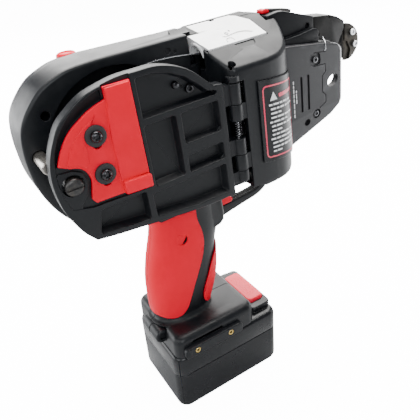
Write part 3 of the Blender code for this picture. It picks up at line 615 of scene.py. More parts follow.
# finger scoop, seat and slot in the roof (x, y)
SCOOP_X, SCOOP_Y = 53.2, -21.5
SCOOP = spline([(44.5, SCOOP_Y), (45.5, -26.5), (48, -29.3), (53, -30.2), (58, -29.3),
                (60.8, -26.5), (61.8, SCOOP_Y)])
PLATE_SEAT = [(15, -23), (75, -23), (72.9, -5.9), (64.7, 2.1), (60.2, 3.8), (15, 3.95)]
PLATE_SLOT = [(25.5, 3.2), (45, 3), (45, 5.2), (25.5, 5.6)]


def on_roof(x, y, height):
    fall = ROOF_RIGHT * (RIDGE_Y - y) if y <= RIDGE_Y else ROOF_LEFT * (y - RIDGE_Y)
    return (x, y, RIDGE_Z - fall + height)


def roof_slab(outline, *heights):
    return loft([[on_roof(x, y, height) for x, y in outline] for height in heights])


def block_cavity(wall):
    block = meet(prism(inset(PLAN, wall), "z", BLOCK_Z + wall, BLOCK_TOP), prism(
        [(x + wall if x < 40 else x, z + wall if z < 200 else z) for x, z in SIDE], "y", -60, 60))
    return cut(block, prism([(y, z - wall * 1.1) for y, z in ROOF], "x", 0, 120))


def foot_form():
    """The foot: straight sides, then a rounded shoulder."""
    stations = [(0, 0)]
    for degrees in range(0, 91, 10):
        turn = radians(degrees)
        stations.append((FOOT_SIDE_H + FOOT_ROUND_H * sin(turn), 7.5 * (1 - cos(turn)) ** 1.25))
    return loft([[(x, y, z) for x, y in rounded_rect(
        FOOT_X0 + d, FOOT_X1 - d, -FOOT_HALF_Y + d, FOOT_HALF_Y - d, 8 - d * 0.3)]
        for z, d in stations], FOOT)


def knuckle(radius, x0, x1, depth, z0, z1):
    """A hinge barrel with a web that ties it to its neighbour."""
    web = box(x0, x1, HINGE_Y - depth, HINGE_Y + 4.2, z0 + 0.05, z1 - 0.05)
    return join(cylinder("z", HINGE, radius, z0, z1, edge=0.5), web)


shell = loft([[(x, y, z) for x, y in inset(PLAN, d)] for d, z in BLOCK_EDGE + [(0, BLOCK_TOP)]])
cut(shell, prism(ROOF, "x", 0, 120),
    # slope down to the nose
    prism([(68, 253.6), (76, 251), (84, 248.6), (110, 242.5), (110, 290), (68, 290)],
          "y", -60, 60))
meet(soften(shell, 2.6, 5), prism(SIDE, "y", -60, 60))
join(shell,
     # belly under the reel
     prism([(-42, BELLY_Z), (-40, 130), (-34, 124), (20, 124), (30, 131), (30, BELLY_Z)],
           "y", -20, 20, radius=1.6),
     handle_solid(0, 14, 134),
     prism(GUARD + GUARD_INNER + [(13, 112)], "y", -4.8, 4.8, radius=0.9))
for y in (-3, -1, 1, 3):  # grooves along the inner line of the guard
    cut(shell, prism([(y - 0.45, 109), (y - 0.45, 103.5), (y + 0.45, 103.5), (y + 0.45, 109)],
                     "x", 24, 66))
join(shell,
     # block behind the trigger
     prism([(4, 131), (4, 92.4), (14, 92.4), (20, 93.4), (24.2, 97), (25, 103), (24.6, 131)],
           "y", -13.4, 13.4, radius=3),
     foot_form())
cut(shell,
    # insides of block, handle and foot
    block_cavity(SHELL_WALL),
    handle_solid(-3.6, 22, 128, flare=False),
    box(FOOT_X0 + SHELL_WALL, FOOT_X1 - SHELL_WALL, -FOOT_HALF_Y + SHELL_WALL,
        FOOT_HALF_Y - SHELL_WALL, 10.8, 17, FOOT),
    # openings for the pack's rails
    box(-43, 40, -23, 23, -5, 9.3, FOOT),
    box(-43, 40, -29, 29, 3.4, 9.3, FOOT),
    box(12.5, 40, -33, 33, -5, 9.3, FOOT),
    # thumb wheel, trigger slot and the round recesses of the handle
    cylinder("y", (-54, 12.5), 7, -17.3, 10.9, frame=FOOT),
    box(2, 40, -6.5, 6.5, 104.2, 132.5),
    cylinder("y", GRIP_RECESS, 4.6, -30, -12.5, frame=FOOT),
    cylinder("y", GRIP_RECESS, 4.6, 12.5, 30, frame=FOOT),
    # room for the hinge
    box(18, 35.5, -50, -33.5, 125, 219.3))
for z0, z1 in ((191.8, 203.8), (153.3, 165.8)):
    join(shell, knuckle(KNUCKLE_R, HINGE_X, 37.3, 3.6, z0, z1))
join(shell, cylinder("z", HINGE, KNUCKLE_R - 0.2, 219.6, 223.5))
cut(shell,
    cylinder("z", HINGE, HINGE_PIN_R + 0.3, 120, 262, 24),
    cylinder("z", (30.9, -38.6), 2.6, 222, 262, 32),
    # opening for the nose, in three overlapping boxes
    box(84, 110, -16.2, 16.2, 138.2, 228.2),
    box(83.8, 111, -22.4, 22.4, 136.4, 224.6),
    box(83.5, 112, -10.4, 10.4, 220, 263),
    # wire inlet, hole in the roof, and all behind the block
    box(15, 27, -18.5, -7.5, 225, 241),
    cylinder("z", (50, -18.5), 3.2, 200, 262, 24),
    box(-120, 21.7, -60, 60, 139.2, 270),
    loft([[on_roof(x * 0.94 + SCOOP_X * 0.06, SCOOP_Y + (y - SCOOP_Y) * 0.8, -0.9)
           for x, y in SCOOP]]
         + [[on_roof(x, y, height) for x, y in SCOOP] for height in (0.05, 6)]),
    roof_slab(PLATE_SLOT, -2.5, 4),
    roof_slab(PLATE_SEAT, -1.3, 5),
    # slit above the side bar
    box(-37.5, -8, -39.5, -35.2, 12.7, 14.3, FOOT))

for name, side, half in (("right", -1, copy_of(shell)), ("left", 1, shell)):
    cut(half, box(-120, 200, *sorted((side * 0.12, side * -80)), -10, 300, FOOT))
    piece(half, "shell_" + name, BLACK, "housing_" + name, bevel=0.3, fill_first=True)

# ---------------------------------------------------------------- reel case and dome
# outer line of the case (x, z), from the top round the rear to the bottom
CASE_ARC = spline([
    (-50, 250.8), (-67, 249.8), (-77, 247.3), (-87.6, 242.6), (-95.7, 235.8), (-103, 227.2),
    (-107, 218.5), (-108.8, 207), (-109, 195), (-108, 184), (-105.2, 173), (-101, 162.7),
    (-95, 152.8), (-86.5, 144.5), (-75, 139.8)])
CASE = [(21.4, 250.4)] + CASE_ARC + [(-44, 139.8), (21.4, 139.8)]
CASE_CORNER = [(9, 3.3), (23.2, 3.3), (27.9, -5.9), (18.2, -5.5), (9, -8.5)]  # on the roof (x, y)
DOME = [(8, 249.5)] + CASE_ARC + [(-44, 139.8), (8, 139.8)]
# y and inset of each dome section
DOME_OUTER = [
    (CASE_Y1 + 0.3, 0.3), (20, 0.5), (24, 0.9), (28, 1.6), (32, 2.9), (35.5, 4.6), (38.5, 6.8),
    (41.2, 9.8), (43.6, 13.6), (45.7, 18.6), (47.3, 24.5), (48.3, 31), (48.9, 39)]
DOME_INNER = [(CASE_Y1 - 1, 3.6), (26, 4.6), (34, 8), (39, 13), (43, 20), (45.5, 30)]


def dome_ring(y, depth):
    """A section inset by up to 4 mm, then drawn towards the dome's centre."""
    centre = Vector((-48, 195))
    ring = []
    for point in inset(DOME, min(depth, 4)):
        p = Vector(point)
        if depth > 4:
            inward = centre - p
            p = p + inward.normalized() * min(depth - 4, inward.length * 0.9)
        ring.append((p.x, y, p.y))
    return ring


case = prism(CASE, "y", CASE_Y0, CASE_Y1, radius=2.2, ends="a", steps=5)
cut(case,
    prism(circle(REEL, REEL_R, 128), "y", CASE_Y0 - 3, 8.5),
    box(-30, 17.5, 11.5, 20, 146, 244),
    box(4, 30, -8.5, 11, 146, 230),
    cylinder("y", REEL, 5.2, 0, 20, 32),
    cylinder("y", (-89.5, 226), 3, -20, 8, 32))
join(case,
     cylinder("y", STUD, 8, -16, 8.5, edge=0.8),
     cylinder("y", POST, 5.4, -9.5, -5, edge=0.8))
cut(case,
    cylinder("y", STUD, 4.8, -20, 5, 32),
    cylinder("y", POST, 4.6, -20, -8, 32),
    cylinder("y", (-1, 243), 2.1, -20, -11.2, 24),
    cylinder("y", (4.2, 241.6), 1.1, -20, -11.2, 20),
    box(15, 24, -16, -5.6, 229, 256))
join(case, roof_slab(CASE_CORNER, -2.2, 0.9))
piece(case, "reel_case_body", BLACK, "reel_case", bevel=0.35)

dome = loft([dome_ring(*station) for station in DOME_OUTER])
cut(dome, loft([dome_ring(*station) for station in DOME_INNER]),
    cylinder("z", REEL_STOP, 7.4, 225, 262))
piece(dome, "reel_case_far_dome", BLACK, "reel_case_dome", bevel=0.35)

stop = revolve([
    (0, 226), (6.6, 226), (7, 226.5), (7, 247.4), (6.7, 249), (6, 249.9), (5.2, 250.2),
    (4.7, 249.9), (4.4, 249.4), (3, 249.5), (0, 249.7)], "z", REEL_STOP)
piece(stop, "reel_stop", RED, "reel_stop_button", body="reel_stop")

spindle = revolve([(0, -22), (4.2, -22), (4.9, -21.3), (4.9, 14.5), (0, 14.5)], "y", REEL)
piece(spindle, "spindle", TURNED, "reel_spindle")

hub = revolve([
    (5.3, -20), (16.2, -20), (17, -19.2), (17, -14), (15.6, -13.4), (15.6, 3.4), (17, 4),
    (17, 7.4), (16.4, 8), (5.3, 8), (5.3, -20)], "y", REEL)
for hole in circle(REEL, 11, 3, 0.5):
    cut(hub, cylinder("y", hole, 3, -24, -14, 24))
piece(hub, "hub_core", BLACK_INNER, "reel_hub", body="hub", bevel=0.2)

stud = join(cylinder("y", STUD, 4.4, -43, 4, 40), revolve([
    (0, -45.6), (3.8, -45.5), (5, -45.1), (5.6, -44.4), (5.8, -43.6), (5.8, -42.5),
    (0, -42.5)], "y", STUD))
cut(stud, box(-102, -82, -47, -44.4, 189.2, 191.2))  # screwdriver slot
piece(stud, "latch_stud_head", DARK_STEEL, "latch_stud", bevel=0.2)

post = revolve([(0, -32.6), (3.6, -32.6), (4.2, -32), (4.2, -8.5), (0, -8.5)], "y", POST)
piece(post, "latch_stop_post", POST_STEEL, "latch_post")

# ---------------------------------------------------------------- feed plate and wire inlet
# plate and its raised lines, on the roof (x, y)
PLATE = [
    (24.4, -22.4), (74.2, -22.4), (72.2, -6.2), (64.4, 1.3), (60, 3), (47.5, 3.2), (46.2, 1.9),
    (43.5, 1.9), (42.2, 3.2), (23.6, 3.2), (28.4, -6.1), (18.5, -5.6)]
PLATE_LINES = (
    [(41.5, -15.2), (45.4, -15.6), (50, -14.9), (55, -14.6), (60, -15.4), (65, -17.8)],
    [(41.6, -20.6), (42, -18.4), (44.6, -17.6), (47, -18.6), (47.4, -20.6)])
PLATE_PIN = (46, -13)
# inlet from the rear (y, z): the opening and the hood over it
TUNNEL = spline([(-17.2, 233.2), (-16.4, 235.9), (-14.8, 239), (-12.7, 241), (-10.7, 241.6),
                 (-9.1, 240.9), (-8.3, 238.9), (-8.2, 235)])
HOOD = [(-6.6, 235), (-5.4, 247), (-11, 244.4), (-15.4, 242.2)] + spline([
    (-17.4, 241.2), (-19.4, 239.6), (-20.9, 237.4), (-21.4, 235.2), (-20.6, 233.2),
    (-18.9, 232.4)])

plate = roof_slab(PLATE, -0.95, 0.55)
cut(plate, cylinder("z", PLATE_PIN, 1.3, 200, 262, 24),
    cylinder("z", (49.4, -11.2), 0.7, 200, 262, 20))
join(plate, cylinder("z", PLATE_PIN, 1, 240, 244.2, 24))
for line in PLATE_LINES:
    join(plate, sweep([on_roof(x, y, 0.5) for x, y in spline(line)], 0.32, 8))
piece(plate, "feed_plate_cover", ALUMINIUM, "feed_plate", bevel=0.3)


def inlet_prism(outline, back):
    """An outline carried forward from the slanted rear face of the inlet."""
    return loft([[(18.3 - 0.377 * (y + 5.4) - back, y, z) for y, z in outline],
                 [(25.2, y, z) for y, z in outline]])


arch = join(inlet_prism(HOOD + TUNNEL, 0), inlet_prism(band(TUNNEL, -0.15, -1.5), 0.9))
piece(arch, "wire_inlet", ALUMINIUM, "wire_inlet_arch", bevel=0.15, segments=1, fill_first=True)
wire = spline([(27, -12.6, 234.9), (20, -12.2, 236.2), (8, -12, 238), (-4, -12, 239.1),
               (-14, -12, 239.2), (-26, -12, 237.8)])
piece(sweep(wire, 0.5, 10), "feed_guide_wire", BRIGHT)

# ---------------------------------------------------------------- side panel and its print
PANEL_PATH = [(PANEL_X0, -44.05)] + spline([
    (52, -44), (58, -44), (66, -43), (72, -41), (77.5, -37.5), (82, -32.7)])  # x, y
PANEL_FACE = offset_path(PANEL_PATH, 1.5)
PANEL_RUN = [0]  # length of the face up to each of its points
for a, b in zip(PANEL_FACE, PANEL_FACE[1:]):
    PANEL_RUN.append(PANEL_RUN[-1] + (Vector(b) - Vector(a)).length)
PANEL_LENGTH = PANEL_RUN[-1]


def slant(x, z):
    """Lowers z towards the nose, more at the panel's lower edge."""
    return z - (0.13 - 0.03 * (z - PANEL_Z0) / (PANEL_Z1 - PANEL_Z0)) * (x - PANEL_X0)


def on_panel(along, z, height):
    """The point at a length along the panel face, raised by height."""
    for k in range(len(PANEL_RUN) - 1):
        if PANEL_RUN[k] <= along <= PANEL_RUN[k + 1]:
            part = (along - PANEL_RUN[k]) / (PANEL_RUN[k + 1] - PANEL_RUN[k])
            a, b = Vector(PANEL_FACE[k]), Vector(PANEL_FACE[k + 1])
            p = a + (b - a) * part
            heading = (b - a).normalized()
            return Vector((p.x + heading.y * height, p.y - heading.x * height, slant(p.x, z)))


def resample(points, closed=True):
    """Divides the sides so that the print can follow the curved face."""
    dense = []
    route = points + points[:1] if closed else points
    for a, b in zip(route, route[1:]):
        a, b = Vector(a), Vector(b)
        count = max(1, int((b - a).length / 1.2))
        dense += [tuple(a + (b - a) * j / count) for j in range(count)]
    return dense if closed else dense + [tuple(points[-1])]


def strip(points, half, closed=False):
    """A thin raised line on the panel, along (length, z) points."""
    points = resample(points, closed)
    count = len(points)
    rows = []
    for i, p in enumerate(points):
        a = Vector(points[(i - 1) % count] if closed or i else p)
        b = Vector(points[(i + 1) % count] if closed or i < count - 1 else p)
        heading = (b - a).normalized()
        across = Vector((-heading.y, heading.x)) * half
        rows.append([on_panel(p[0] + across.x * k, p[1] + across.y * k, height) for k, height in (
            (-1, PRINT_LOW), (-1, PRINT_HIGH), (1, PRINT_HIGH), (1, PRINT_LOW))])
    return loft(rows, closed=closed)


panel = loft([[(x, y, slant(x, z)) for x, y in band(PANEL_PATH, 1.5, 0.35)]
              for z in (PANEL_Z0, PANEL_Z1)])
piece(panel, "side_panel", PANEL_FILM, "label_panel", bevel=0.5, segments=3, smooth=40)
border = rounded_rect(3.4, PANEL_LENGTH - 3, PANEL_Z0 + 3.6, PANEL_Z1 - 4.9, 3, 5)
piece(strip(border, 0.55, closed=True), "panel_border", PRINT_RED)
heading_bar = strip([(17.6, 202.4), (PANEL_LENGTH - 7, 203.6)], 1.3)
piece(heading_bar, "panel_heading_bar", PRINT_RED)

# rows of plain bars of random length
rng = random.Random(7)
bars = []
for row in range(12):
    z = 196.4 - row * 3.3
    start = 6.6 + (1.2 if row in (0, 4, 8) else 2.6)
    end = PANEL_LENGTH - 5.6 - (rng.random() * 7 if row not in (2, 6, 11) else 15)
    while start < end - 2:
        stop_at = min(end, start + (2.4 + rng.random() * 4.4))
        bars.append(strip([(start, z + start * 0.02), (stop_at, z + stop_at * 0.02)], 0.62))
        start = stop_at + 1
piece(merge(*bars), "panel_bars", PRINT_WHITE)
triangle = resample([(9, 199.6), (15.8, 200), (12.3, 206)])
mark = loft([[on_panel(along, z, height) for along, z in triangle]
             for height in (PRINT_LOW, PRINT_HIGH)])
piece(mark, "panel_mark", PRINT_WHITE)

# ---------------------------------------------------------------- nose
# side plate, the groove across it, and the painted highlight band round its front edge (x, z)
NOSE = fillet([(86, 137), (103, 143), (126, 151.4), (138, 156), (150, 164), (150, 208.7),
               (145.5, 213.8), (133.5, 217.6), (94.5, 223.8), (86, 224.3)], 4, 4)
NOSE_SEAM = [
    (131.6, 222), (131.6, 211.3), (120.4, 212.9), (116.4, 211.8), (115.2, 208), (115.8, 204.2),
    (119, 202.3), (131.4, 201.2), (131.4, 195), (128, 192), (127.7, 178.8), (131.4, 175),
    (131.4, 168.8), (124.5, 165.9)]
SEAM_POCKET = fillet([(115.2, 203.6), (119, 202.3), (125.6, 202.6), (126.4, 206),
                      (125.2, 211.8), (118.6, 212.4), (115.6, 210.6)], 1.2, 4)
RIM = (spline([(137.4, 155.6), (143, 159), (148, 162.4), (150.3, 165.6)])
       + spline([(150.5, 170), (150.5, 190), (150.5, 204), (150.2, 208.4), (147.2, 212.4),
                 (142, 215)]))

plate = prism(NOSE, "y", -22, -16.3, radius=1.3, ends="a", steps=5)
cut(plate,
    # tapers at the bottom and front
    prism([(-30, 165), (-22.01, 165), (-18.2, 136), (-30, 136)], "x", 80, 160),
    prism([(147.2, -22.3), (150.3, -18.4), (160, -18.4), (160, -30), (147.2, -30)],
          "z", 100, 260))
for x0, x1 in ((104.2, 106.4), (111.5, 113.7)):  # two upright grooves
    cut(plate, prism(rounded_rect(x0, x1, 167.6, 197.4, 0.8, 4), "y", -30, -20.3))
oval = [(139.4 + x, 185.4 + 4.9 / 5.9 * z + 0.16 * x) for x, z in circle((0, 0), 5.9, 40)]
cut(plate,
    prism(band(NOSE_SEAM, 0.42, -0.42), "y", -30, -21.1),
    prism(SEAM_POCKET, "y", -30, -20.7),
    prism(oval, "y", -30, -10),
    cylinder("y", JAW_BOLTS[0][1], 1.9, -30, -10, 24),
    cylinder("y", JAW_BOLTS[1][1], 4.2, -30, -19.6, 40),
    cylinder("y", JAW_BOLTS[1][1], 1.9, -30, -10, 24),
    cylinder("y", (111.4, 156.4), 3.1, -30, -17.2, 32))
twin = mirrored(plate)
piece(plate, "jaw_plate_right", NOSE_BLACK, "nose_plate_right")
piece(twin, "jaw_plate_left", NOSE_BLACK, "nose_plate_left")
# light grey bands set into the plates' front edges, a painted highlight of the rounded edges
for name, y0, y1 in (("right", -20.4, -16.8), ("left", 16.8, 20.4)):
    rim = prism(band(RIM, 0.55, -0.95), "y", y0, y1)
    piece(rim, "jaw_rim_" + name, RIM_HIGHLIGHT, bevel=0.15, segments=1)

core = prism(fillet([(84.5, 139), (103, 146), (124, 153), (126.5, 160), (126.5, 217),
                     (131.2, 217.2), (84.5, 226)], 1.5), "y", -15.9, 15.9, radius=0.6)
join(core,
     # narrow upper block
     soften(prism([(85.3, 219), (131.4, 215.2), (131.4, 237.4), (101, 247.6), (96, 248.2),
                   (85.3, 247.2)], "y", -10, 10), 1.3, 4, 20),
     # shoulders beside it
     soften(prism([(84.9, 216.6), (84.9, 227.6), (98.8, 227.6), (110.7, 227.9), (127, 229.6),
                   (130.4, 228.4), (131.5, 226), (131.5, 216.6)], "y", -15.2, 15.2), 0.9))
cut(core,
    # channel for the lever, bore and front slot
    prism([(80, 247.3), (93.5, 247.6), (104, 245.1), (113, 242.8), (117, 242.2), (117, 262),
           (80, 262)], "y", -4.1, 4.1),
    cylinder("x", (0, 190), 12.6, 80, 140, 64),
    box(70, 140, -3, 3, 229, 234.5),
    cylinder("y", (124, 231.6), 2.3, -20, -7.6, 32),
    cylinder("y", (124, 231.6), 2.3, 7.6, 20, 32))
for _, centre, _ in JAW_BOLTS:
    cut(core, cylinder("y", centre, 1.6, -20, -8, 24))
piece(core, "nose_frame", FRAME_BLACK, "nose_core", bevel=0.3)


def screw(centre, head, count, shank, socket=None):
    """A screw along y.

    head: revolved profile; shank: radius and y range; socket: hexagon radius, phase, y range.
    """
    form = join(revolve(head, "y", centre, count=count), cylinder("y", centre, *shank, 24))
    if socket:
        radius, phase, y0, y1 = socket
        cut(form, prism(circle(centre, radius, 6, phase), "y", y0, y1))
    return form


def round_bolt(centre, y, radius, height, shank_radius, shank_end):
    """A round-headed socket bolt whose head seats at y and faces right."""
    head = [(0, y - height), (radius * 0.72, y - height), (radius * 0.93, y - height * 0.86),
            (radius, y - height * 0.55), (radius, y), (0, y)]
    return screw(centre, head, 40, (shank_radius, y - 0.3, shank_end),
                 (1.5, 0.3, y - height - 1, y - height * 0.35))


for name, centre, y in JAW_BOLTS:
    bolt = round_bolt(centre, y, radius=2.7, height=1.9, shank_radius=1.3, shank_end=-9)
    piece(bolt, "jaw_bolt_" + name, BOLT_STEEL, "nose_bolt_" + name, bevel=0.12)
hook = spline([(134.2, -16.4, 221.8), (134.4, -17, 220.2), (132.2, -21.4, 218.2),
               (131, -22.9, 215.6), (130.9, -22.8, 213), (130.2, -22.3, 212.2)])
piece(sweep(hook, 0.42, 10), "jaw_spring_hook", BRIGHT)

# two columns of plain marks on the right of the nose
rng = random.Random(11)
marks = []
for x, z, top in ((97, 165.5, 196), (99.6, 177, 190)):
    while z < top - 1.5:
        length = 1.6 + rng.random() * 3
        marks.append(box(x - 0.45, x + 0.45, -22.1, -21.9, z, min(top, z + length)))
        z += length + 0.8
piece(merge(*marks), "nose_marks", PRINT_WHITE)

guide = soften(prism([
    (131.9, 218.2), (147, 214.3), (151, 212.5), (153.5, 208.4), (159, 208.4), (166, 220),
    (166, 226.5), (158, 231.4), (151, 234), (131.9, 236.6)], "y", -9, 9), 0.9, 3, 20)
cut(guide, box(128, 180, -1.4, 1.4, 222, 226), box(148.6, 150, -10, 10, 231.6, 238),
    cylinder("y", (136.6, 221.4), 1.5, -20, -7.6, 24))
piece(guide, "curl_guide", GUIDE_STEEL, "curl_guide_block", bevel=0.15)

# three half discs at the tip (x, z); the middle one is smaller
DISC_X, DISC_Z = 166.4, 208
DISC = spline([
    (DISC_X, 192.5), (170.5, 192), (176, 194.2), (180.4, 198.4), (182.8, 203.6), (183, 209),
    (181.2, 214.6), (177.4, 219.4), (172, 222.8), (DISC_X, 224)])
DISC_RELIEF = [(164, 190), (170.6, 190), (173.6, 200.5), (169.6, 208.5), (164, 209.5)]
for name, side, y0, y1, shrink in (("right", -1, -9, -6, 0), ("mid", 0, -5.7, 5.7, 2),
                                   ("left", 1, 6, 9, 0)):
    disc = prism([(DISC_X + (x - DISC_X) * (1 - 0.048 * shrink), z - (z - DISC_Z) * 0.05 * shrink)
                  for x, z in DISC], "y", y0, y1, radius=0.5)
    if side:
        cut(disc, prism(DISC_RELIEF, "y", *sorted((side * 7.6, side * 12))))
    else:
        for y in (-2.6, 0.9):
            cut(disc, box(160, 190, y, y + 1.7, 186, 206))
    for _, centre in DISC_BOLTS:
        cut(disc, cylinder("y", centre, 1.7, -20, 20, 24))
    piece(disc, "curl_disc_" + name, BLUED if side else DARK_STEEL, "curl_plate_" + name,
          bevel=0.15)
for name, centre in DISC_BOLTS:
    bolt = screw(centre, [(0, -10.6), (1.2, -10.6), (1.5, -11.2), (2.5, -11.2), (2.8, -10.7),
                          (2.8, -9.3), (0, -9.3)], 40, (1.3, -9.6, 8.5), (1.35, 0.2, -13, -10.2))
    piece(bolt, "disc_bolt_" + name, BRIGHT, "curl_bolt_" + name, bevel=0.08)

blade = prism(fillet([(93.5, 248.2), (104, 245.6), (112, 243.4), (114, 243.8), (114, 245.6),
                      (111, 246.9), (104, 248.2), (93.5, 250.2)], 0.5, 3),
              "y", -3.5, 3.5, radius=0.4)
piece(blade, "release_blade", DARK_STEEL, "release_lever", body="lever", bevel=0.1)
tab = soften(prism([(86, 247.8), (91.4, 247.6), (92.6, 247.7), (92.4, 249.9), (90, 250.8),
                    (86, 250.6)], "y", -3.6, 3.6), 0.7, 3, 25)
for k in range(3):  # grooves across the tab
    x = 87.2 + 2.1 * k
    cut(tab, prism([(x, 252), (x + 1, 252), (x + 0.5, 250.3)], "y", -5, 5))
piece(tab, "release_tab", RED, body="lever", bevel=0.1)
tab["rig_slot"] = "release_lever"

# ---------------------------------------------------------------- hinged cover
COVER = [(20, 221), (13, 221.8)] + spline([
    (8.8, 225.6), (-1, 235), (-11, 240.9), (-24.2, 244.9), (-37.6, 245.3), (-50.7, 245.1),
    (-63.8, 242.8), (-73.8, 239.8), (-83.1, 234.2), (-91, 227.8), (-96.8, 218.4),
    (-100.4, 210.2), (-102.6, 201.1), (-103.2, 191.2), (-102.2, 180.1), (-100.3, 172),
    (-98, 166), (-93.8, 156.8), (-87.4, 148)]) + [
    (-72.6, 145.3), (-43.6, 141.4), (-12, 137.2), (8, 136), (20, 136)]
# pockets in the outer face: floor y and outline (x, z)
FLOOR_Y = -36
POCKETS = [
    (FLOOR_Y, [(-40, 215.5), (-40, 241.4), (-28, 241.2), (-17, 238.2), (-7, 233), (2.6, 224.6),
               (7.6, 219.6), (14.5, 218), (14.5, 215.5)]),
    (FLOOR_Y, [(-40.6, 168), (-40.6, 211), (-18, 211), (-18, 168)]),
    (FLOOR_Y, [(-14, 189.5), (-14, 211), (14.5, 211), (14.5, 189.5)]),
    (FLOOR_Y, [(-14, 168), (-14, 180.5), (14.5, 180.5), (14.5, 168)]),
    (FLOOR_Y + 1, [(-44, 146), (-44, 163.5), (14.5, 163.5), (14.5, 140.5), (-12, 141.5)]),
    (FLOOR_Y + 1, [(-84, 151), (-80, 167.4), (-48.5, 167.4), (-48.5, 146.4), (-72, 149.6)])]
# seat of the latch plate, the deeper channel outside the plate's arc, the boss round the stud
LATCH_SEAT = fillet([
    (-43.2, 169.5), (-43.2, 260), (-61.3, 260), (-61.3, 241.6), (-67, 240.5), (-78, 236),
    (-86, 230), (-92.5, 222.5), (-97.5, 212.5), (-99.6, 203), (-100, 195), (-99, 184),
    (-96.5, 175), (-84, 171.6)], 1, 3)
LATCH_CHANNEL = spline([
    (-62, 240.6), (-67, 239.6), (-78, 235), (-85.2, 229.2), (-91.6, 221.8), (-96.6, 212.1),
    (-98.6, 204)]) + [(-96, 205.2)] + spline([
        (-93.2, 212), (-88.9, 218.2), (-84.4, 222.9), (-78.6, 226.8), (-72.8, 230.1),
        (-66.6, 232.5), (-61.6, 234.2)])
STUD_BOSS = fillet([
    (-99.4, 200.4), (-90, 199.6), (-84.6, 196.6), (-82.6, 190.4), (-84.4, 181.8), (-90, 176),
    (-91.4, 168), (-98.6, 171), (-101.6, 181), (-102.2, 191.2)], 2.2, 5)


def pocket(floor, outline):
    """A cutter with a rounded floor edge, drafted walls and a flared mouth."""
    rounded = fillet(outline, 1.6, 4)
    stations = ((1.55, floor), (1.1, floor - 0.5), (0, COVER_Y0 + 0.5),
                (-0.45, COVER_Y0 - 0.1), (-0.5, -60))
    return loft([[(x, y, z) for x, z in inset(rounded, d)] for d, y in stations])


cover = prism(COVER, "y", COVER_Y0, COVER_Y1, radius=0.9)
for z0, z1 in ((204.1, 218.9), (166.1, 178.4), (144.2, 153)):
    join(cover, knuckle(KNUCKLE_R - 0.1, 18.3, HINGE_X + 0.4, 1.5, z0, z1))
for floor, outline in POCKETS:
    cut(cover, pocket(floor, outline))
cut(cover, prism(LATCH_SEAT, "y", -60, -40.6), prism(LATCH_CHANNEL, "y", -60, -37.4))
join(cover, prism(STUD_BOSS, "y", -41.9, -38, radius=0.5, ends="a"))
cut(cover, cylinder("y", STUD, 6.9, -50, -30, 64),
    cylinder("z", HINGE, HINGE_PIN_R + 0.3, 120, 260, 24))
for _, centre in LATCH_SCREWS:
    cut(cover, cylinder("y", centre, 2.3, -50, -30, 24))
for _, centre in reversed(COVER_SCREWS):
    cut(cover, cylinder("y", centre, 1.5, -38, -30, 20))
cut(cover, cylinder("y", (-7.6, 226), 0.9, -38, -35, 16))
for x, z in ((14.4, 189.6), (14.4, 168.2), (14.4, 215.6)):  # gussets in the front pocket corners
    join(cover, prism([(x + 0.4, z - 0.4), (x - 3.4, z - 0.4), (x + 0.4, z + 3.2)],
                      "y", -40.6, FLOOR_Y + 0.4))
piece(cover, "cover_plate", BLACK, "reel_cover", body="cover", bevel=0.25)
hinge_pin = cylinder("z", HINGE, HINGE_PIN_R, 143.5, 224.5, 32, edge=0.3)
piece(hinge_pin, "cover_hinge_pin", BRIGHT, "hinge_pin")

COIL_TURNS, COIL_STEPS, COIL_R, COIL_Z, COIL_H = 6, 20, 2.9, 179.9, 10.4
helix = []
for i in range(COIL_TURNS * COIL_STEPS + 1):
    part = i / (COIL_TURNS * COIL_STEPS)
    turn = 2 * pi * COIL_TURNS * part
    helix.append((HINGE_X + COIL_R * cos(turn), HINGE_Y + COIL_R * sin(turn),
                  COIL_Z + COIL_H * part))
piece(sweep(helix, 0.55, 8), "cover_hinge_coil", SCREW_DARK, "hinge_spring")

for name, centre in COVER_SCREWS:
    if name == "front":
        form = round_bolt(centre, -36.2, radius=3, height=2.4, shank_radius=1.2, shank_end=-32.8)
    else:
        form = screw(centre, [(0, -39), (0.9, -39), (2, -38.5), (2.5, -37.6), (2.6, -36.2),
                              (0, -36.2)], 32, (1.2, -36.6, -32.8))
    piece(form, "cover_screw_" + name, SCREW_DARK, "cover_pin_" + name, body="cover", bevel=0.1)

# ---------------------------------------------------------------- red latch plate
# outlines (x, z): the plate, the straight bar on its front part, the raised field behind it
LATCH = [(-43.8, 242.3), (-60.6, 242.3)] + spline([
    (-60.8, 235.2), (-66.7, 233.4), (-73, 231), (-79, 227.6), (-85, 223.6), (-89.7, 218.8),
    (-94, 212.5), (-97.6, 205.2)]) + spline([
        (-91.4, 201.9), (-86, 200), (-82.4, 196), (-81, 190), (-82.4, 183), (-83.6, 177.6)]) + [
    (-81.6, 174.4), (-62.8, 173.6), (-62, 172.6), (-43.9, 171.9)]
LATCH_BAR = fillet([(-44.3, 241.8), (-60.2, 241.8), (-60.5, 232.6), (-61.8, 228.6), (-63, 210),
                    (-63.4, 182.4), (-44.3, 181.6)], 0.7, 4)
LATCH_FIELD = spline([
    (-70.5, 226.7), (-76, 223.9), (-81.6, 220.2), (-86.4, 215.2), (-89.8, 210),
    (-92.8, 204.2)], 5) + [
    (-89.4, 202.9), (-85.4, 201.6), (-82, 199.2), (-79.6, 200.4), (-78.8, 213), (-74, 222.4)]

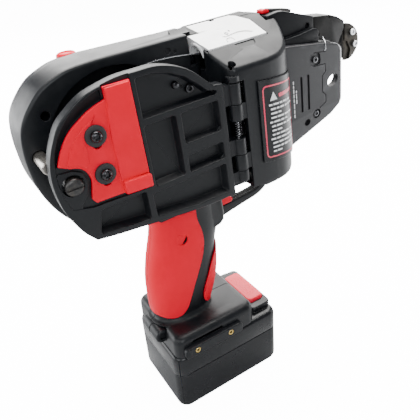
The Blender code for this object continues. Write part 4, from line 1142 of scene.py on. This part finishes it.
latch = prism(LATCH, "y", -43.2, -40.9, radius=0.45, ends="a")
join(latch,
     prism(LATCH_BAR, "y", -44.5, -42.4, radius=0.5, ends="a"),
     prism(LATCH_FIELD, "y", -43.75, -42.6, radius=0.35, ends="a"),
     # thick lower end of the bar
     soften(prism([(-62.8, 182.6), (-62.8, 173.4), (-44, 172.2), (-44, 181.2)],
                  "y", -47.2, -43), 1.1, 4))
for _, (x, z) in LATCH_SCREWS:  # upright slots
    cut(latch, prism(rounded_rect(x - 2.7, x + 2.7, z - 8.7, z + 2.7, 2.6, 6), "y", -60, -30))
piece(latch, "latch_slider", RED, "latch_plate", body="latch", bevel=0.22)
for name, centre in LATCH_SCREWS:
    washer = revolve([(2.3, -45.2), (2.9, -45.6), (5.6, -45.6), (6.5, -45.2), (6.7, -44.6),
                      (6.7, -43.6), (2.3, -43.6), (2.3, -45.2)], "y", centre, count=64)
    piece(washer, "slider_washer_" + name, RUBBER, "latch_washer_" + name, body="cover")
    form = screw(centre, [(0, -48.2), (1.6, -48.2), (2.7, -47.8), (3.5, -46.9), (3.7, -46),
                          (3.7, -45.7), (0, -45.7)], 48, (1.9, -46.2, -33.5),
                 (1.75, 0.2, -50, -46.7))
    piece(form, "slider_screw_" + name, SCREW_DARK, "latch_screw_" + name, body="cover",
          bevel=0.1)

# ---------------------------------------------------------------- grips and trigger
# areas of the handle under the red grips, foot frame (x, z)
GRIP_REAR = [(-75, 26)] + spline([
    (-52, 28.5), (-46, 26), (-39, 25.2), (-33, 27.2), (-28.5, 32.6), (-25.4, 40), (-21, 52),
    (-14.4, 67), (-9.6, 79), (-7.5, 90), (-8.5, 101), (-11.4, 112), (-12, 123)], 5) + [(-75, 123)]
GRIP_FRONT = [(34, 26), (34, 80), (12.5, 80)] + spline([
    (10.5, 76), (4.2, 71.5), (-1.4, 64), (-5.6, 55), (-9.8, 46), (-12, 38), (-11.2, 30),
    (-6.5, 25.2), (0.5, 23.6), (8, 24.5), (14, 26)], 5)


def grip_skin(z0, z1, outline, side):
    """A skin over one side of the handle, within the outline."""
    skin = cut(handle_solid(1.5, z0, z1, 2.2), handle_solid(0.2, z0 - 4, z1 + 4, 2.2))
    meet(skin, prism(outline, "y", -40, 40, FOOT))
    return cut(skin, box(-100, 60, *sorted((side * 0.15, side * -60)), -10, 200, FOOT))


for name, side in (("right", -1), ("left", 1)):
    grip = grip_skin(24.5, 121, GRIP_REAR, side)
    cut(grip, cylinder("y", GRIP_RECESS, 4.7, *sorted((side * 16.9, side * 30)), frame=FOOT))
    # disc at the bottom of the round recess
    lining = cut(
        cylinder("y", GRIP_RECESS, 4.5, *sorted((side * 13.1, side * 14.3)), frame=FOOT),
        cylinder("y", GRIP_RECESS, 1.6, -40, 40, 24, FOOT))
    piece(merge(grip, lining), "grip_red_rear_" + name, RED_GRIP, "grip_rear_" + name, bevel=0.3)
    piece(grip_skin(22.9, 80, GRIP_FRONT, side), "grip_red_front_" + name, RED_GRIP,
          "grip_front_" + name, bevel=0.3)

trigger = prism(spline([
    (10, 104.6), (30, 104.6), (36.5, 104.8), (38.8, 107), (37.4, 110), (36.2, 113), (34.6, 120),
    (35.2, 126), (36, 130)], 3) + [(33.5, 131.5), (10, 131.5)], "y", -6, 6, radius=1.6)
piece(trigger, "trigger_blade", RED, "trigger", body="trigger_body", bevel=0.1)
SWITCH_CORNER = 0.8
switch = prism(fillet(rect(-16, 4, -5.5, 5.5), SWITCH_CORNER), "z", 107, 127,
               radius=SWITCH_CORNER * 0.6)
piece(switch, "switch_body", BLACK_INNER, "trigger_switch", bevel=0.1)

# ---------------------------------------------------------------- foot fittings
wheel = revolve([
    (0, -15.2), (3.3, -15.2), (3.3, -16.6), (5.4, -16.6), (6.2, -16), (6.4, -15.2), (6.4, -3.6),
    (5.9, -3.2), (5.9, -2.6), (6.4, -2.2), (6.4, 9.2), (6.1, 10), (5.6, 10.2), (0, 10.2)],
    "y", (-54, 12.5), FOOT)
piece(wheel, "thumb_wheel", BLACK, "torque_knob", body="knob")
RAIL_INSERTS = (("rear", (-35, 5.7)), ("front", (-2, 5.7)))
rail = prism(rounded_rect(-46.5, 10.5, 0.8, 10.6, 3.2, 6), "y", -41.3, -37.6, FOOT, 0.9, "a")
for _, centre in RAIL_INSERTS:
    cut(rail, cylinder("y", centre, 2.8, -50, -30, 32, FOOT))
join(rail, prism([(-46, 2), (-42, 1.4), (-41, 9.8), (-44.6, 10.2)],
                 "y", -41.9, -40.6, FOOT, 0.3, "a"))
piece(rail, "side_rail", BLACK, "side_bar", bevel=0.15)
for name, centre in RAIL_INSERTS:
    insert = revolve([(1.2, -41), (1.5, -41.2), (2.3, -41.2), (2.5, -41), (2.5, -37.9),
                      (1.2, -37.9), (1.2, -41)], "y", centre, FOOT, 32)
    piece(insert, "rail_insert_" + name, BRASS, "bar_insert_" + name)


# ---------------------------------------------------------------- battery pack
def pack_form(stations):
    """A loft of the pack's outline through (z, inset) stations."""
    return loft([[(x, y, z) for x, y in rounded_rect(
        PACK_X0 + d, PACK_X1 - d, -PACK_HALF_Y + d, PACK_HALF_Y - d, 9 - d * 0.4, 10)]
        for z, d in stations], WORLD)


def pack_cavity(z0, z1):
    return box(PACK_X0 + PACK_WALL, PACK_X1 - PACK_WALL, -PACK_HALF_Y + PACK_WALL,
               PACK_HALF_Y - PACK_WALL, z0, z1, WORLD)


turns = [pi / 2 * i / 9 for i in range(10)]
lower = pack_form([(7 * (1 - cos(t)), 6 * (1 - sin(t))) for t in turns]
                  + [(39.3, 0), (39.6, 0.12), (39.85, 0.4)])
piece(cut(lower, pack_cavity(3.2, 60)), "pack_lower", PACK_BLACK, "pack_case_lower",
      body="pack", bevel=0.1)

upper = pack_form([(40.15, 0.4), (40.4, 0.12), (40.7, 0), (55.5, 0), (57.2, 0.35), (58.5, 1.2),
                   (59.3, 2.3), (59.7, 3.8)])
join(upper,
     # rails that enter the foot, and the pad round the button
     box(-34, 27, -22, 22, 58, 68.4, WORLD),
     box(-34, 27, -28, 28, 64.1, 68.4, WORLD),
     box(14, 26.6, -31, 31, 58, 68.4, WORLD),
     prism(rounded_rect(29, 51, -29, 29, 5), "z", 58, 65, WORLD, 1.2, "b"))
for y in (-12, 0, 12):  # slots in the top of the rails
    cut(upper, box(-40, -10, y - 1.4, y + 1.4, 63.5, 72, WORLD))
cut(upper, pack_cavity(30, 56.4),
    prism(rounded_rect(31.5, 49.5, -21.3, 21.3, 4.5), "z", 58.4, 72, WORLD),
    box(18.4, 22.6, -11.3, 11.3, 58.2, 72, WORLD))
piece(upper, "pack_upper", PACK_BLACK, "pack_case_upper", body="pack", bevel=0.3)

button = loft([[(x, y, z) for x, y in rounded_rect(
    31.9 + d, 49.1 - d, -20.9 + d, 20.9 - d, 4.2 - d * 0.3)]
    for z, d in ((62, 0), (66.6, 0), (67.4, 0.25), (68, 0.9), (68.2, 1.8))], WORLD)
dots = [revolve([(0, 68.5), (0.35, 68.45), (0.6, 68.1), (0, 67.9)], "z",
                (40.5 + (i - 2) * 2.1, (j - 5) * 2.6), WORLD, 8)
        for i in range(5) for j in range(11)]
piece(merge(button, *dots), "pack_release_button", RED_BUTTON, "pack_button",
      body="pack_release")
tab = soften(box(18.8, 22.2, -10.9, 10.9, 61.5, 69, WORLD), 0.5)
piece(tab, "pack_latch_tab", RED, "pack_latch", body="pack_release")

# ---------------------------------------------------------------- pieces kept from the CAD
KEPT = {
    "twist_motor": TURNED, "twist_gearbox": TURNED, "twist_head": BRIGHT, "feed_motor": TURNED,
    "drive_roller": BRIGHT, "idler_roller": BRIGHT, "wire_guide": TURNED,
    "terminal_block": BLACK_INNER, "terminal_blade_right": BRASS, "terminal_blade_left": BRASS,
    "controller_board": BOARD, "cell_block": CELL_WRAP}
for name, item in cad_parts.items():
    if name in KEPT:
        item.data.materials.clear()
        item.data.materials.append(KEPT[name])
        for face in item.data.polygons:
            face.material_index = 0
        add_bevel(item, 0.25 * MM, 2, 35, clamp=True)

# ---------------------------------------------------------------- stage, in metres
CAMERA_GLOW = 14  # floor and world as the camera sees them


def floor_material():
    """Grey paper that glows white to the camera and lights the tool from the far right."""
    s = Shader("floor_paper")
    s.feed(s.ramp(s.noise(3), (0.3, (0.40, 0.41, 0.42)), (0.7, (0.43, 0.44, 0.45))), "Base Color")
    s.surface.inputs["Roughness"].default_value = 0.6
    camera_ray = s.new("ShaderNodeLightPath").outputs["Is Camera Ray"]
    glow = s.new("ShaderNodeEmission")
    glow.inputs["Color"].default_value = (0.985, 0.99, 1, 1)
    seen = s.math("MULTIPLY", camera_ray, CAMERA_GLOW)
    position = s.new("ShaderNodeSeparateXYZ")
    s.link(s.geometry.outputs["Position"], position.inputs[0])
    # distance away from the camera, roughly along its view
    along = s.math("ADD", s.math("MULTIPLY", position.outputs["X"], 0.85),
                   s.math("MULTIPLY", position.outputs["Y"], 0.52))
    rise = s.new("ShaderNodeMapRange")
    for key, value in (("From Min", 0.12), ("From Max", 0.7), ("To Min", 0), ("To Max", 4)):
        rise.inputs[key].default_value = value
    s.link(along, rise.inputs["Value"])
    unseen = s.math("MULTIPLY", s.math("SUBTRACT", 1, camera_ray), rise.outputs["Result"])
    s.link(s.math("ADD", seen, unseen), glow.inputs["Strength"])
    total = s.new("ShaderNodeAddShader")
    s.link(s.surface.outputs[0], total.inputs[0])
    s.link(glow.outputs[0], total.inputs[1])
    s.link(total.outputs[0], s.tree.nodes["Material Output"].inputs["Surface"])
    return s.material


bm = bmesh.new()
bmesh.ops.create_grid(bm, x_segments=40, y_segments=40, size=4)
for vertex in bm.verts:
    vertex.co.z = -0.0002
floor = add_object("floor", mesh_data(bm, "floor"))
floor.data.materials.append(floor_material())

world = bpy.data.worlds.new("studio")
bpy.context.scene.world = world
world.use_nodes = True
nodes, links = world.node_tree.nodes, world.node_tree.links
background = nodes["Background"]
background.inputs["Color"].default_value = (0.93, 0.96, 1, 1)
light_path = nodes.new("ShaderNodeLightPath")
strength = nodes.new("ShaderNodeMapRange")
strength.inputs["To Min"].default_value = 0.22
strength.inputs["To Max"].default_value = CAMERA_GLOW
links.new(light_path.outputs["Is Camera Ray"], strength.inputs["Value"])
links.new(strength.outputs["Result"], background.inputs["Strength"])


def light(name, location, width, height, power, colour):
    """A rectangular light aimed at the middle of the tool."""
    data = bpy.data.lights.new(name, "AREA")
    data.shape = "RECTANGLE"
    data.size = width
    data.size_y = height
    data.energy = power
    data.color = colour
    lamp = add_object(name, data)
    lamp.location = location
    lamp.rotation_mode = "QUATERNION"
    aim = Vector((0, 0, 0.18)) - Vector(location)
    lamp.rotation_quaternion = aim.to_track_quat("-Z", "Y")


# name, location, width, height, power, colour
for row in (
        ("overhead", (0.25, 0.35, 1.45), 1.5, 1.5, 72, (1, 0.985, 0.96)),
        ("far_card", (0.95, 1.55, 1), 2.4, 1.3, 62, (1, 0.99, 0.975)),
        ("left_soft", (-1.3, -0.5, 0.9), 0.9, 0.9, 9, (0.97, 0.985, 1)),
        ("left_back", (-1.15, 1, 0.38), 1.6, 0.9, 27, (0.98, 0.99, 1)),
        ("front_fill", (-0.45, -1.45, 1), 0.9, 0.9, 13, (0.96, 0.98, 1)),
        ("right_strip", (1.2, -0.3, 0.6), 0.4, 1.1, 2.6, (1, 1, 1))):
    light(*row)


def add_camera(location, azimuth, elevation, roll, lens, shift):
    """A camera placed by its angles in degrees."""
    azimuth, elevation, roll = radians(azimuth), radians(elevation), radians(roll)
    back = Vector((sin(azimuth) * cos(elevation), -cos(azimuth) * cos(elevation), sin(elevation)))
    level = Vector((cos(azimuth), sin(azimuth), 0))
    upright = back.cross(level)
    right = level * cos(roll) + upright * sin(roll)
    up = upright * cos(roll) - level * sin(roll)
    data = bpy.data.cameras.new("camera")
    camera = add_object("camera", data)
    turn = Matrix((right, up, back)).transposed().to_4x4()
    camera.matrix_world = Matrix.Translation(Vector(location)) @ turn
    data.sensor_width = 36
    data.lens = lens
    data.shift_y = shift
    data.clip_start = 0.01
    bpy.context.scene.camera = camera


add_camera(location=(-0.1673, -0.3046, 0.3715), azimuth=-30.69, elevation=27.24, roll=-4.67,
           lens=41.73, shift=-1 / 15)
